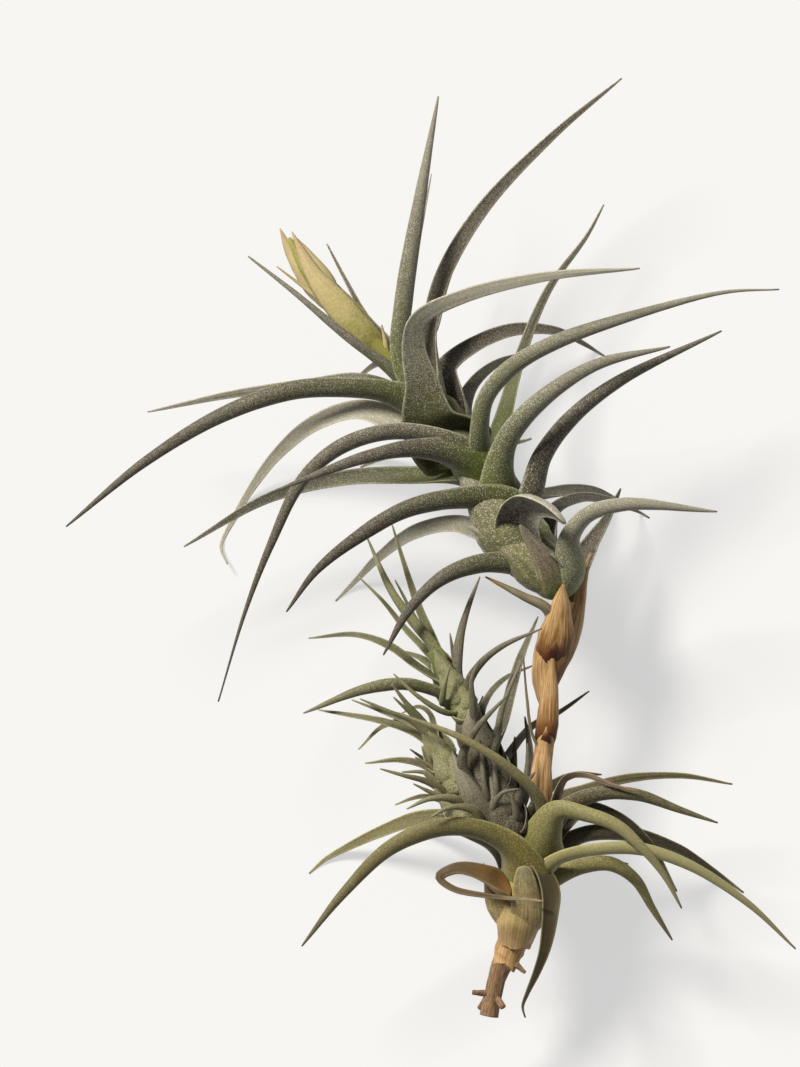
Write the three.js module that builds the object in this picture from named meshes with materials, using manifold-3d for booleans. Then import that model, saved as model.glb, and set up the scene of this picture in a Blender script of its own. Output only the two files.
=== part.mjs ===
// An air plant lying on its side: an old rosette with its root end and side shoots, a dead flower stalk,
// and the large plantlet that grew at the end of the stalk, with its flower bud. Millimetres, +Z up.
// The plant lies along Y with its root end at -Y, and the surface that it lies on is at z = 0.

import * as THREE from 'three';
import { mergeVertices } from 'three/addons/utils/BufferGeometryUtils.js';
import Module from 'manifold-3d';

const wasm = await Module();
wasm.setup();

// Driving dimensions
const seatGap = 0.32;            // clearance between two shoots that touch
const finestDetail = 0.02;       // detail below this is dropped from a joined shoot
const mergeDistance = 1e-3;      // vertices closer than this are one
const bladeFold = 58;            // half angle of a blade's channelled section, in degrees
const sheathFold = 84;           // half angle of the clasping sheath
const tipFold = 16;              // how much more the tip rolls in
const faceTurn = 3;              // how strongly a blade twists its face up over its middle
const bladeTaper = 0.85;         // power of a blade's narrowing, below 1 for a full blade with a quick tip
const tipWidth = 1.0;            // width of a leaf's blunt tip
const tipThickness = 0.65;
const rootShare = 0.45;          // a sheath's width where it leaves the stem's axis, of its full width
const rootEase = 1.2;            // root depths over which it reaches that full width
const ringCrowding = 1.25;       // power that sets a leaf's sections closer together at its base
const bractStart = 0.12;         // part of its swelling that a bract has at its foot
const bractEase = 0.7;           // power that sets a bract's widest part below its middle
const leafThickness = 1.7;       // at the thick middle of a large leaf's base
const pupLeafThickness = 1.1;
const sheathReach = 15;          // length over which a large leaf's sheath narrows
const pupSheathReach = 4;
const leafSteps = 8;             // sections along a large leaf
const pupLeafSteps = 5;
const leafRootDepth = 7;         // how far below its parting a large leaf starts on the stem's axis
const pupRootDepth = 2.5;
const stemSides = 8;
const stemSteps = 7;
const rootSides = 6;
const rootSteps = 3;
const plantCentre = [0.5, 0.6];  // middle of the plant's outline on the surface, in the leaf tables' frame

// Colours
const silverGreen = '#7d8471';
const olive = '#6f7446';
const greyShoot = '#77766a';
const freshGreen = '#84915c';
const straw = '#bf9355';
const deadTan = '#a89674';
const budYellow = '#b9b383';
const rootBrown = '#7d5a3c';

const v = ([x, y, z]) => new THREE.Vector3(x, y, z);

// A smooth curve through a list of points
function curveThrough(points) {
  return new THREE.CatmullRomCurve3(points.map(v), false, 'centripetal');
}

// A closed solid from rings of equal length, with a fan on each end
function loft(rings) {
  const sides = rings[0].length;
  const positions = rings.flat().flatMap((p) => [p.x, p.y, p.z]);
  const index = [];
  for (let i = 0; i < rings.length - 1; i++) {
    for (let j = 0; j < sides; j++) {
      const a = i * sides + j;
      const b = i * sides + (j + 1) % sides;
      index.push(a, b, b + sides, a, b + sides, a + sides);
    }
  }
  const last = (rings.length - 1) * sides;
  for (let j = 1; j < sides - 1; j++) {
    index.push(0, j + 1, j);
    index.push(last, last + j, last + j + 1);
  }
  const geometry = new THREE.BufferGeometry();
  geometry.setAttribute('position', new THREE.Float32BufferAttribute(positions, 3));
  geometry.setIndex(index);
  return geometry;
}

function toSolid(geometry) {
  const bare = geometry.clone();
  bare.deleteAttribute('normal');
  bare.deleteAttribute('uv');
  const merged = mergeVertices(bare, mergeDistance);
  const mesh = new wasm.Mesh({
    numProp: 3,
    vertProperties: new Float32Array(merged.attributes.position.array),
    triVerts: new Uint32Array(merged.index.array),
  });
  mesh.merge();
  return new wasm.Manifold(mesh);
}

function joined(solids) {
  return solids.reduce((whole, next) => whole.add(next));
}

function toGeometry(solid) {
  const { vertProperties, triVerts } = solid.getMesh();
  const geometry = new THREE.BufferGeometry();
  geometry.setAttribute('position', new THREE.Float32BufferAttribute(vertProperties, 3));
  geometry.setIndex(Array.from(triVerts));
  return geometry;
}

// The largest body of a solid, without the scraps that a cut leaves and with the hollows that
// joined sheaths seal filled in
function largestBody(solid) {
  let body = solid;
  for (let pass = 0; pass < 3; pass++) {
    const bodies = toSolid(toGeometry(body.simplify(finestDetail))).decompose();
    body = bodies.sort((a, b) => b.volume() - a.volume())[0];
  }
  return body;
}

// The space to keep free round a solid made from rings: each stretch between two rings, taken as
// convex, grown by the seat gap
function clearance(rings) {
  const corners = [-seatGap, seatGap];
  const grown = rings.map((ring) => ring.flatMap((p) => corners.flatMap((x) => corners.flatMap(
    (y) => corners.map((z) => [p.x + x, p.y + y, p.z + z])))));
  return grown.slice(1).map((ring, i) => wasm.Manifold.hull([...grown[i], ...ring]));
}

// A stem: round rings along a curve, whose radius eases through the given radii
function stem(core, sides = stemSides, steps = stemSteps) {
  const curve = curveThrough(core.path);
  const rings = [];
  let side = new THREE.Vector3(0, 0, 1);
  for (let i = 0; i <= steps; i++) {
    const s = i / steps;
    const along = curve.getTangentAt(s);
    side = side.clone().addScaledVector(along, -side.dot(along)).normalize();
    const other = new THREE.Vector3().crossVectors(along, side);
    const centre = curve.getPointAt(s);
    const place = s * (core.radii.length - 1);
    const before = Math.min(Math.floor(place), core.radii.length - 2);
    const radius = THREE.MathUtils.lerp(core.radii[before], core.radii[before + 1], place - before);
    rings.push(Array.from({ length: sides }, (_, j) => {
      const turn = 2 * Math.PI * j / sides;
      return centre.clone().addScaledVector(side, radius * Math.cos(turn))
        .addScaledVector(other, radius * Math.sin(turn));
    }));
  }
  return rings;
}

// A leaf: a channelled blade that narrows from a clasping sheath to a long point. It starts on the
// stem's axis, a little below where it parts from the stem, and runs through its row's points. Its
// section is an arc whose hollow side faces the stem, and its thickness eases from base to tip.
function leaf(core, row, look) {
  const axis = curveThrough(core.path);
  const rootAt = Math.max(0, row.at - look.rootDepth / axis.getLength());
  const root = axis.getPointAt(rootAt);
  const axisWay = axis.getTangentAt(rootAt);
  const curve = new THREE.CatmullRomCurve3([root, ...row.path.map(v)], false, 'centripetal');
  const length = curve.getLength();

  const outward = curve.getPointAt(1 / 3).sub(root);
  outward.addScaledVector(axisWay, -outward.dot(axisWay)).normalize();
  let across = new THREE.Vector3().crossVectors(axisWay, outward);
  across.applyAxisAngle(curve.getTangentAt(1 / 4), THREE.MathUtils.degToRad(row.roll ?? 0));

  // Each blade twists a little along its length, so that more of its face is turned up to the light
  const up = new THREE.Vector3(0, 0, 1);
  const reach = row.reach ?? look.reach;
  const rings = [];
  for (let i = 0; i <= look.steps; i++) {
    const s = (i / look.steps) ** ringCrowding;
    const along = curve.getTangentAt(s);
    across = across.clone().addScaledVector(along, -across.dot(along)).normalize();
    const level = new THREE.Vector3().crossVectors(up, along);
    level.multiplyScalar(Math.sign(across.dot(level)) || 1);
    across.addScaledVector(level, (row.face ?? faceTurn) * s * (1 - s)).normalize();
    const inward = new THREE.Vector3().crossVectors(along, across);
    const flare = Math.exp(-((s * length / reach) ** 2));
    const swelling = Math.sin(Math.PI * (bractStart + (1 - bractStart) * s ** bractEase));
    const outline = row.belly ? swelling : (1 - s) ** (row.taper ?? bladeTaper);
    const blade = tipWidth + (row.width - tipWidth) * outline;
    const sheath = blade + Math.max(0, (row.sheath ?? row.width) - row.width) * flare;
    const parting = Math.min(1, s * length / (rootEase * look.rootDepth));
    const width = sheath * (rootShare + (1 - rootShare) * Math.sin(parting * Math.PI / 2));
    const fold = THREE.MathUtils.degToRad(
      bladeFold + (sheathFold - bladeFold) * flare + tipFold * s * s);
    const thickness = tipThickness + (look.thickness - tipThickness) * (1 - s);
    const radius = width / (2 * Math.sin(fold));
    const sag = radius * (1 - Math.cos(fold));
    const centre = curve.getPointAt(s);
    const place = (sideways, height) => centre.clone()
      .addScaledVector(across, sideways).addScaledVector(inward, height);
    const hub = sag / 2 + radius * Math.cos(fold);
    const ring = [];
    for (let j = 0; j < look.facets; j++) {
      const turn = fold * (2 * j / (look.facets - 1) - 1);
      ring.push(place(radius * Math.sin(turn), hub - radius * Math.cos(turn)));
    }
    ring.push(place(0, thickness - sag / 2));
    rings.push(ring);
  }
  return rings;
}

// The sections of the large leaves and of the side shoots' leaves
const largeLeaf = {
  steps: leafSteps, facets: 5, thickness: leafThickness, reach: sheathReach, rootDepth: leafRootDepth,
};
const smallLeaf = {
  steps: pupLeafSteps, facets: 3, thickness: pupLeafThickness, reach: pupSheathReach,
  rootDepth: pupRootDepth,
};

// Each shoot has a core, the stem with its packed sheaths, and leaves. A leaf row holds the place on
// the core where it grows, its blade and sheath widths, and the points that it runs through. Some rows
// set their own sheath length (reach), taper, face twist (face) or turn about their own length (roll),
// and a bract that swells in its middle has a belly.

const upperCore = {
  path: [[41, -13, 42], [34, -3, 43], [21, 15, 44], [10, 32, 45], [0, 43, 46], [-9, 53, 47]],
  radii: [4.5, 6.6, 7.8, 8, 7.5, 6.2, 3.5],
};

const upperLeaves = [
  // Standing up from the heart
  { at: 0.90, width: 9, sheath: 13,
    path: [[-8, 57, 51], [-7.5, 75, 54], [-3, 105, 55], [2.5, 136, 50]] },
  { at: 0.93, width: 4.6, sheath: 7, face: 0, path: [[-7, 62, 40], [-4.5, 85, 38], [0.5, 113, 38]] },
  { at: 0.86, width: 7.6, sheath: 13,
    path: [[3, 52, 44], [1.7, 66, 41], [4.7, 82.1, 40], [15.8, 102.2, 40], [36.5, 124, 41],
      [57.5, 141.5, 45]] },
  // Towards the front and over to the right
  { at: 0.70, width: 9, sheath: 27, reach: 27,
    path: [[2, 40, 55], [-1.5, 50, 61], [-4.5, 61, 66], [-3, 69, 71], [9, 75.5, 76], [34, 81.5, 79],
      [62.5, 84, 76]] },
  { at: 0.58, width: 9.6, sheath: 16, reach: 15, taper: 1.25,
    path: [[15.5, 35, 55], [17.2, 45.2, 60], [24.4, 54.2, 63], [37.6, 62, 64], [63, 70.8, 64],
      [88, 77.1, 60.5], [104.5, 78, 57]] },
  { at: 0.46, width: 9.5, sheath: 18, reach: 19,
    path: [[21.3, 22, 53], [23.7, 32.8, 59], [32, 43.5, 62], [48.8, 55, 61], [71.9, 60.9, 54]] },
  // Right-hand leaves behind them
  { at: 0.56, width: 5.4, sheath: 12, reach: 22,
    path: [[22, 37, 36], [27, 57, 29], [35.5, 78, 26], [47.4, 94.7, 24], [52.4, 104, 25]] },
  { at: 0.40, width: 7.5, sheath: 16, reach: 20,
    path: [[31, 17, 47], [34.5, 28, 49], [42.5, 39.3, 49], [56.4, 50.4, 47], [87.6, 65.8, 40]] },
  { at: 0.74, width: 8.4, sheath: 16, reach: 24,
    path: [[6, 46, 38], [5, 53.6, 33], [11.6, 60.2, 28], [24.3, 66, 21], [38, 66, 13], [46.5, 62.3, 4],
      [50.5, 60, 0.4], [53.5, 58.2, -0.4]] },
  { at: 0.50, width: 3, sheath: 6, path: [[22, 30, 37], [30.5, 33.5, 34]] },
  // Left-hand leaves
  { at: 0.88, width: 5.8, sheath: 10,
    path: [[-20, 50.6, 41], [-37, 49.6, 36], [-60, 46.7, 32], [-85, 41.5, 30]] },
  { at: 0.82, width: 9, sheath: 20, reach: 20,
    path: [[-11, 46, 55], [-25, 48, 60], [-41.4, 47.4, 62], [-62.4, 40.2, 62], [-85.4, 26.3, 59],
      [-109, 7, 54]] },
  { at: 0.74, width: 10.4, sheath: 16, reach: 18, taper: 1.1,
    path: [[-9, 38, 37], [-21, 41.8, 30], [-34, 38.2, 22], [-45.4, 29.3, 12], [-53.5, 19, 3.5],
      [-59.5, 9, -0.5], [-63.2, 0.8, 0.6], [-61.2, -4.3, 4]] },
  { at: 0.60, width: 10.5, sheath: 18, taper: 1.6,
    path: [[4, 33, 53], [-10, 35.5, 58], [-26, 31, 60], [-38, 21, 60], [-47.5, 2, 57], [-55.3, -18.2, 52],
      [-63.5, -45.5, 46]] },
  { at: 0.54, width: 8.5, sheath: 20, reach: 21,
    path: [[11, 27, 56], [-4, 30.2, 64], [-19, 27.7, 69], [-34, 22.5, 69], [-45.5, 18, 66]] },
  { at: 0.50, width: 8.2, sheath: 14, reach: 17,
    path: [[11, 21, 44], [-5, 21.9, 41], [-25, 21.6, 38], [-48, 15.8, 35], [-74, 1, 32]] },
  { at: 0.40, width: 9, sheath: 17, reach: 18,
    path: [[20, 14, 51], [8, 14.8, 57], [-7, 12, 60], [-22, 3.5, 61], [-34, -6.2, 59],
      [-43, -18.5, 55]] },
  { at: 0.30, width: 8, sheath: 12,
    path: [[19, 4, 37], [8, 7.6, 30], [-4, 5.4, 22], [-15, -2, 10], [-22, -9, 2], [-25.5, -12.5, 0.3],
      [-28.5, -15.5, -0.4]] },
  { at: 0.16, width: 8.6, sheath: 15, reach: 17,
    path: [[27, -5, 49], [15, -4.5, 54], [4, -8.3, 56], [-6, -17.6, 56], [-14, -31.5, 53]] },
  // The short front leaves at the foot of the plantlet
  { at: 0.18, width: 19, sheath: 22, reach: 12, taper: 0.5, face: 0, roll: -35,
    path: [[28, 2.5, 53], [27, 10, 60], [30, 14, 66], [36, 12.3, 73], [40.5, 8, 76.5]] },
  { at: 0.04, width: 11, sheath: 18, reach: 10, taper: 0.7,
    path: [[37.5, -9, 51], [33, -1.5, 58], [26.8, 7.5, 64]] },
  { at: 0.06, width: 8.5, sheath: 16, reach: 17,
    path: [[43, -6, 50], [42, 2.5, 56], [47, 10, 60], [58, 13.5, 61], [86, 11.5, 53]] },
  { at: 0.20, width: 6.5, sheath: 11,
    path: [[37, 10.8, 34], [44.4, 15.3, 27], [53, 15, 18], [60, 12.7, 6.5], [63.5, 11.3, 0.7],
      [66.5, 9.6, -0.4]] },
  { at: 0.04, width: 7.5, sheath: 12,
    path: [[44, -8, 37], [48, 1, 32], [53.5, 10, 28], [57.5, 18.5, 25]] },
  // The two thin leaves beside the bud
  { at: 0.92, width: 4.2, sheath: 7,
    path: [[-13, 55, 51], [-25, 64, 54], [-40.5, 77, 55], [-54.5, 88, 53]] },
  { at: 0.94, width: 3.1, sheath: 4.6,
    path: [[-11, 61, 44], [-19, 70, 41], [-25, 80.5, 40], [-31, 92, 40]] },
  // Leaves on the far side, which the plantlet lies on
  { at: 0.24, width: 8, sheath: 13,
    path: [[30, 4, 31], [28, 8, 18], [22, 8, 6], [17, 6, 0.7], [12, 4, -0.4]] },
  { at: 0.36, width: 8, sheath: 13,
    path: [[29, 14, 31], [40, 17.5, 20], [50, 17.8, 8], [56, 15.5, 0.8], [60, 13.6, -0.4]] },
  { at: 0.48, width: 8.5, sheath: 13,
    path: [[15, 25, 31], [7, 30, 19], [-6, 30, 8], [-15, 27.5, 0.8], [-21, 25, -0.4]] },
  { at: 0.62, width: 8.5, sheath: 13, path: [[10, 37, 32], [12, 48, 21], [20, 56, 11], [32, 60, 3.5]] },
  { at: 0.80, width: 8, sheath: 12, path: [[-3, 49, 34], [-9, 56, 24], [-16, 56, 13], [-25, 49, 4]] },
  { at: 0.87, width: 6, sheath: 11, face: 0,
    path: [[-3, 56, 36], [2, 67, 28], [5, 79, 24], [11, 95, 22]] },
];

const motherCore = {
  path: [[25.4, -119, 34.2], [27.3, -107, 35], [31, -95, 36], [33, -84, 37], [33.2, -77, 38]],
  radii: [4.9, 6.2, 8.5, 9, 8, 6, 3.8],
};

const motherLeaves = [
  // Left-hand leaves
  { at: 0.52, width: 9.6, sheath: 22, reach: 22,
    path: [[24.8, -90.6, 46], [15, -84.6, 51], [3, -83.6, 53], [-11.8, -89.3, 52], [-26, -103, 47],
      [-38.5, -119, 40]] },
  { at: 0.62, width: 9, sheath: 14,
    path: [[20, -83, 31], [9, -81.4, 26], [-3, -81.2, 20], [-15.2, -85.4, 10], [-26, -90.6, 2],
      [-32, -94, 0.3], [-36.5, -98, -0.4]] },
  { at: 0.72, width: 4, sheath: 8, path: [[20, -81, 40], [11, -80, 44], [1, -79.5, 45]] },
  // Right-hand leaves
  { at: 0.66, width: 7.6, sheath: 22, reach: 19,
    path: [[33.5, -86, 48], [38, -78.5, 54], [48, -79.7, 57], [56.2, -82.8, 57.5], [63.3, -89, 56],
      [70, -97.2, 52], [75.5, -107.5, 47]] },
  { at: 0.68, width: 7, sheath: 11,
    path: [[45, -78.5, 33], [55, -80, 30], [65, -87.5, 25], [74.5, -103, 20]] },
  { at: 0.48, width: 6.4, sheath: 14, reach: 14,
    path: [[38.6, -93, 48], [50, -90, 53], [63.3, -89.8, 53], [78.5, -94.9, 50], [96, -106.5, 43],
      [110, -120, 34]] },
  { at: 0.58, width: 7.5, sheath: 12,
    path: [[44, -87, 31], [58, -85.5, 26], [74, -90, 16], [85.5, -97, 4.5], [90.5, -100.5, 0.5],
      [95, -103.8, -0.4]] },
  { at: 0.42, width: 7.5, sheath: 13,
    path: [[38, -99, 40], [46, -95.2, 42], [54.2, -94.4, 42], [61.7, -99, 39], [66.9, -107.7, 34],
      [73, -117.5, 27]] },
  { at: 0.84, width: 5, sheath: 9,
    path: [[38, -76, 38], [47, -72.1, 38], [60, -68.6, 37], [76, -67.9, 34], [91, -70.5, 30]] },
  { at: 0.80, width: 7.4, sheath: 12,
    path: [[41, -78, 43], [50, -73.5, 46], [62, -73.5, 46], [75, -78, 42], [86.5, -82, 37]] },
  // The leaf that hooks down in front
  { at: 0.40, width: 11, sheath: 17, reach: 11, taper: 1.2,
    path: [[33, -97, 47], [35.8, -102.5, 53.5], [35.8, -109, 56], [34.4, -119, 55], [32.1, -126, 52],
      [29.1, -133, 48], [27.8, -137, 45], [28.6, -140.3, 43]] },
  { at: 0.26, width: 10.5, sheath: 12, reach: 9, taper: 0.45,
    path: [[27.5, -104, 45], [28, -99, 49.5], [27.4, -95, 51.5]] },
  // The leaf that crosses in front of the side shoots
  { at: 0.78, width: 5.5, sheath: 11, reach: 8,
    path: [[34, -81, 48], [32, -74, 54], [25, -66.5, 59], [11, -57, 62], [-9, -49, 59]] },
  // Leaves on the far side
  { at: 0.34, width: 8, sheath: 13,
    path: [[30, -101, 24], [33, -105, 11], [36, -109.5, 1], [39, -114, -0.4]] },
  { at: 0.44, width: 8, sheath: 13,
    path: [[22, -92, 25], [12, -85.5, 15], [1, -83.5, 6], [-5, -84.5, 0.6], [-10, -86.5, -0.4]] },
  { at: 0.50, width: 8, sheath: 13, path: [[40, -95, 24], [50, -94, 12], [60, -95, 3.5]] },
  { at: 0.70, width: 7, sheath: 11, path: [[32, -79, 27], [36, -72, 17], [44, -68, 9], [52, -68, 4]] },
];

const greyCore = {
  path: [[24, -85, 44], [18, -71, 45], [13, -57, 46], [10, -44, 46]],
  radii: [4.2, 5, 4.4, 2.6],
};

const greyLeaves = [
  { at: 0.86, width: 5.2, sheath: 8,
    path: [[8, -38, 47], [9, -26, 46], [11.5, -17, 45], [15, -8, 43]] },
  { at: 0.84, width: 4, sheath: 5, path: [[7.5, -34, 41], [6, -25, 38]] },
  { at: 0.74, width: 4.6, sheath: 7,
    path: [[11.5, -41, 50], [15, -34.4, 53], [21.4, -29, 55], [33.5, -23.5, 55]] },
  { at: 0.66, width: 4, sheath: 6, path: [[13, -47, 53], [12.5, -39, 56], [14.5, -33.5, 58]] },
  { at: 0.66, width: 3.6, sheath: 6, path: [[16.5, -46, 42], [22, -39, 39], [31.5, -34.5, 35]] },
  { at: 0.54, width: 6.6, sheath: 10.5, reach: 9,
    path: [[21.8, -53, 46], [24.8, -41, 44], [27.4, -32, 42], [32.5, -20, 38]] },
  { at: 0.46, width: 3.6, sheath: 6, path: [[20, -58.5, 52], [21.5, -48, 53], [27.5, -33, 50]] },
  { at: 0.24, width: 5, sheath: 11, reach: 9,
    path: [[13, -72, 51], [9.5, -63.5, 55], [13, -54.8, 58], [23.5, -43, 59]] },
  { at: 0.40, width: 4.6, sheath: 7,
    path: [[25, -60, 40], [31, -53, 33], [38, -49.5, 30], [48, -42.5, 28]] },
  { at: 0.10, width: 4.4, sheath: 6, path: [[28, -76, 46], [29.4, -66, 49], [29.2, -58, 51]] },
  { at: 0.20, width: 3, sheath: 4, path: [[17, -74, 53], [15, -56.5, 54]] },
  { at: 0.22, width: 3.4, sheath: 5, path: [[20, -73, 52], [19, -62, 53]] },
  { at: 0.06, width: 4, sheath: 6, path: [[19, -79, 51], [21.5, -73, 55], [26.5, -71.5, 55]] },
  { at: 0.04, width: 4.4, sheath: 6, path: [[26, -80, 51], [24.3, -73.5, 55]] },
  { at: 0.50, width: 4.4, sheath: 7, path: [[14, -60, 37], [13, -53, 28], [16, -44, 22]] },
  { at: 0.34, width: 4.4, sheath: 7, path: [[12, -69, 38], [3, -66, 31], [-6, -60, 27]] },
];

const greenCore = {
  path: [[12, -50, 47], [7, -41, 47], [1, -30, 47]],
  radii: [3, 3.4, 2.2],
};

const greenLeaves = [
  { at: 0.84, width: 4.8, sheath: 6,
    path: [[0, -28, 48], [-5.5, -21, 48], [-11.5, -12.5, 47], [-19, 4, 45]] },
  { at: 0.82, width: 3.8, sheath: 5,
    path: [[1, -27, 45], [-3, -18, 43], [-6.5, -8, 42], [-11.5, 8, 40]] },
  { at: 0.74, width: 3, sheath: 4.5,
    path: [[-1.5, -30, 43], [-8, -23, 40], [-14, -15.5, 39], [-21.5, -8, 38]] },
  { at: 0.80, width: 2.6, sheath: 4, path: [[-2, -25, 43.5], [-10.5, -9, 41]] },
  { at: 0.50, width: 4.4, sheath: 7,
    path: [[-4, -35, 45.5], [-12, -29, 44], [-22, -25.5, 42], [-36.5, -26.5, 40]] },
  { at: 0.22, width: 7, sheath: 9,
    path: [[2, -43, 49], [-8, -40.5, 51], [-20, -42, 50], [-38, -49, 44]] },
  { at: 0.16, width: 2.8, sheath: 4.5, path: [[5, -49, 52], [-4, -43.5, 56], [-11, -37, 57]] },
  { at: 0.40, width: 3.4, sheath: 5, path: [[4.2, -46, 52], [4.2, -41.5, 55], [6, -34.5, 56]] },
  { at: 0.60, width: 4, sheath: 6, path: [[2, -36, 39], [-4, -32, 31], [-12, -30, 26]] },
];

const leftCore = {
  path: [[9.5, -71.5, 49], [4.5, -63, 48.5], [-1, -54.5, 49]],
  radii: [3, 3.8, 3.2, 2],
};

const leftLeaves = [
  { at: 0.86, width: 3.6, sheath: 5, path: [[-2, -52, 52], [-7, -46, 56], [-11.5, -40, 59]] },
  { at: 0.84, width: 2.6, sheath: 4, path: [[-4, -51, 50.5], [-11, -44, 55]] },
  { at: 0.66, width: 4, sheath: 6, path: [[-5, -55, 47.5], [-14, -51.5, 46], [-33.5, -48, 42]] },
  { at: 0.80, width: 3, sheath: 4.5, path: [[-4, -53, 46], [-13, -49, 42.5], [-23.5, -45, 40]] },
  { at: 0.84, width: 2.8, sheath: 4, path: [[-5, -51.5, 52], [-12, -48.5, 55], [-21, -44.5, 57]] },
  { at: 0.70, width: 3.6, sheath: 5, path: [[-5, -52, 44], [-14, -53, 39], [-21.5, -60, 37]] },
  { at: 0.76, width: 3, sheath: 5, path: [[0, -49, 47], [-3.5, -47, 45], [-8.5, -49, 44]] },
];

const lowCore = {
  path: [[17, -85, 49], [9, -77, 48], [3, -70, 48]],
  radii: [2.6, 3.6, 3, 2],
};

const lowLeaves = [
  { at: 0.90, width: 3.6, sheath: 5, path: [[0, -65.5, 46], [-8, -63, 45], [-19.5, -64, 43]] },
  { at: 0.86, width: 2.4, sheath: 4, path: [[1, -65.5, 50], [-4.5, -62, 52]] },
  { at: 0.80, width: 2.8, sheath: 4, path: [[-1, -67, 49], [-8.5, -66.5, 50]] },
  { at: 0.84, width: 3, sheath: 4.5, path: [[-1, -69.5, 51], [-8, -67.5, 54], [-15, -65.5, 55]] },
  { at: 0.70, width: 2.6, sheath: 4, path: [[1, -73, 52], [-5, -70, 55]] },
  { at: 0.76, width: 2.4, sheath: 4, path: [[3, -71, 53], [-2, -67, 56]] },
  { at: 0.60, width: 3, sheath: 5, path: [[-1, -74, 46.5], [-5, -74.5, 45], [-10.5, -76.5, 44]] },
  { at: 0.40, width: 4, sheath: 6, path: [[8, -75, 54], [0, -74.5, 57], [-7, -77.5, 57]] },
  { at: 0.14, width: 4, sheath: 6, path: [[13, -78, 55], [6, -77, 58], [0, -80, 58]] },
];

const stalkCore = {
  path: [[33.3, -79, 39.5], [33.8, -65, 41], [34.5, -57, 41], [35.7, -47, 41], [36, -36, 41],
    [38, -25, 41.5], [40.5, -15, 42]],
  radii: [2.9, 2.7, 2.9, 2.6, 2.8, 2.8, 3.2],
};

const stalkLeaves = [
  // Papery bracts, from the foot of the stalk to its top
  { at: 0.04, width: 7.2, belly: true, path: [[33.2, -69, 43.3], [34, -61, 43.8], [35, -53, 44.4]] },
  { at: 0.30, width: 6.8, belly: true, path: [[35.3, -52, 43.5], [36, -42, 44.3], [37, -29.5, 46.2]] },
  { at: 0.46, width: 7.4, belly: true, path: [[33.4, -39, 42.8], [33.6, -30, 43.6], [36, -19, 45]] },
  { at: 0.70, width: 11, belly: true, path: [[37.6, -28, 46], [38.8, -19.5, 49.3], [40, -9, 51.5]] },
  { at: 0.58, width: 8.5, belly: true,
    path: [[40.5, -31, 42.5], [43.6, -21, 41.5], [46, -10, 40.5], [48.5, -1, 41]] },
  // The dry leaf at the top of the stalk
  { at: 0.84, width: 4, sheath: 6, path: [[35, -18, 49], [28, -14, 50], [16.5, -8, 50.5]] },
  // The loose dry strand
  { at: 0.30, width: 1.4, sheath: 1.8, path: [[30.5, -55, 44], [29, -44, 47], [28, -32, 48]] },
];

const curledCore = { path: [[24, -104, 44.5], [21.5, -101, 46.5]], radii: [1.2, 1.6] };
const curledLeaves = [
  { at: 0.3, width: 4.2, sheath: 9.5, reach: 13,
    path: [[17, -98, 49], [8.2, -95.5, 50.5], [2.7, -98.2, 51.5], [6.6, -101.5, 54], [16, -103.4, 58],
      [34, -105, 61]] },
];

const dryRightCore = { path: [[36.5, -76.5, 42], [39.5, -72, 44]], radii: [1.2, 1.4] };
const dryRightLeaves = [
  { at: 0.4, width: 3.2, sheath: 4,
    path: [[41, -68, 45], [47, -67.5, 46.5], [55, -70.5, 48.5], [63, -72.5, 48.5]] },
];

const budCore = {
  path: [[-11.5, 56.5, 47.8], [-20, 65, 49], [-27.5, 73, 50], [-34.3, 81, 50.5], [-39.3, 88, 50.5],
    [-42.6, 93.4, 50.5]],
  radii: [2.4, 3.3, 3.6, 3.7, 2.9, 0.9],
};
const budLeaves = [
  { at: 0.10, width: 9, belly: true,
    path: [[-20.5, 65.5, 52.2], [-28.5, 74.5, 53.7], [-35.5, 83.5, 53.9], [-41.4, 95.4, 51.5]] },
  { at: 0.14, width: 9, belly: true,
    path: [[-20, 65.5, 46.3], [-28, 74.5, 46.3], [-35, 83.5, 47], [-40.5, 93, 49.5]] },
  { at: 0.36, width: 8, belly: true,
    path: [[-30.5, 74, 51], [-37.5, 82.5, 51.5], [-42, 89.5, 51.2], [-45, 96.4, 51]] },
  { at: 0.44, width: 6.4, belly: true,
    path: [[-30, 79.5, 51.5], [-35.5, 87, 51.5], [-41.2, 94.6, 50.5]] },
  { at: 0.20, width: 2.4, sheath: 4, path: [[-26, 69.5, 50.5], [-39.5, 80, 52], [-46, 85, 52.5]] },
  { at: 0.04, width: 2.4, sheath: 4, path: [[-13, 61, 50.5], [-14.5, 67.5, 51.5]] },
];

const rootCore = {
  path: [[24.4, -118.4, 34], [22, -124, 33.5], [19.6, -131, 32.5], [17.8, -140.1, 31.5]],
  radii: [4.3, 3.4, 2.6, 2.6, 2.9],
};
const rootEnds = [
  { path: [[19, -133.5, 32.5], [12.8, -133, 34]], radii: [1.3, 0.7] },
  { path: [[19.5, -134, 32.5], [22, -137.5, 35]], radii: [1.3, 0.9] },
  { path: [[22.5, -121.5, 34.5], [28.6, -127, 37]], radii: [1.9, 0.5] },
  { path: [[19, -132, 32], [15, -138, 27]], radii: [1.3, 0.8] },
];

// The surface that the plant lies on trims the leaves that touch it to small flat spots
const tableDepth = 40;
const table = toSolid(new THREE.BoxGeometry(400, 400, tableDepth).translate(0, 0, -tableDepth / 2));

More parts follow.
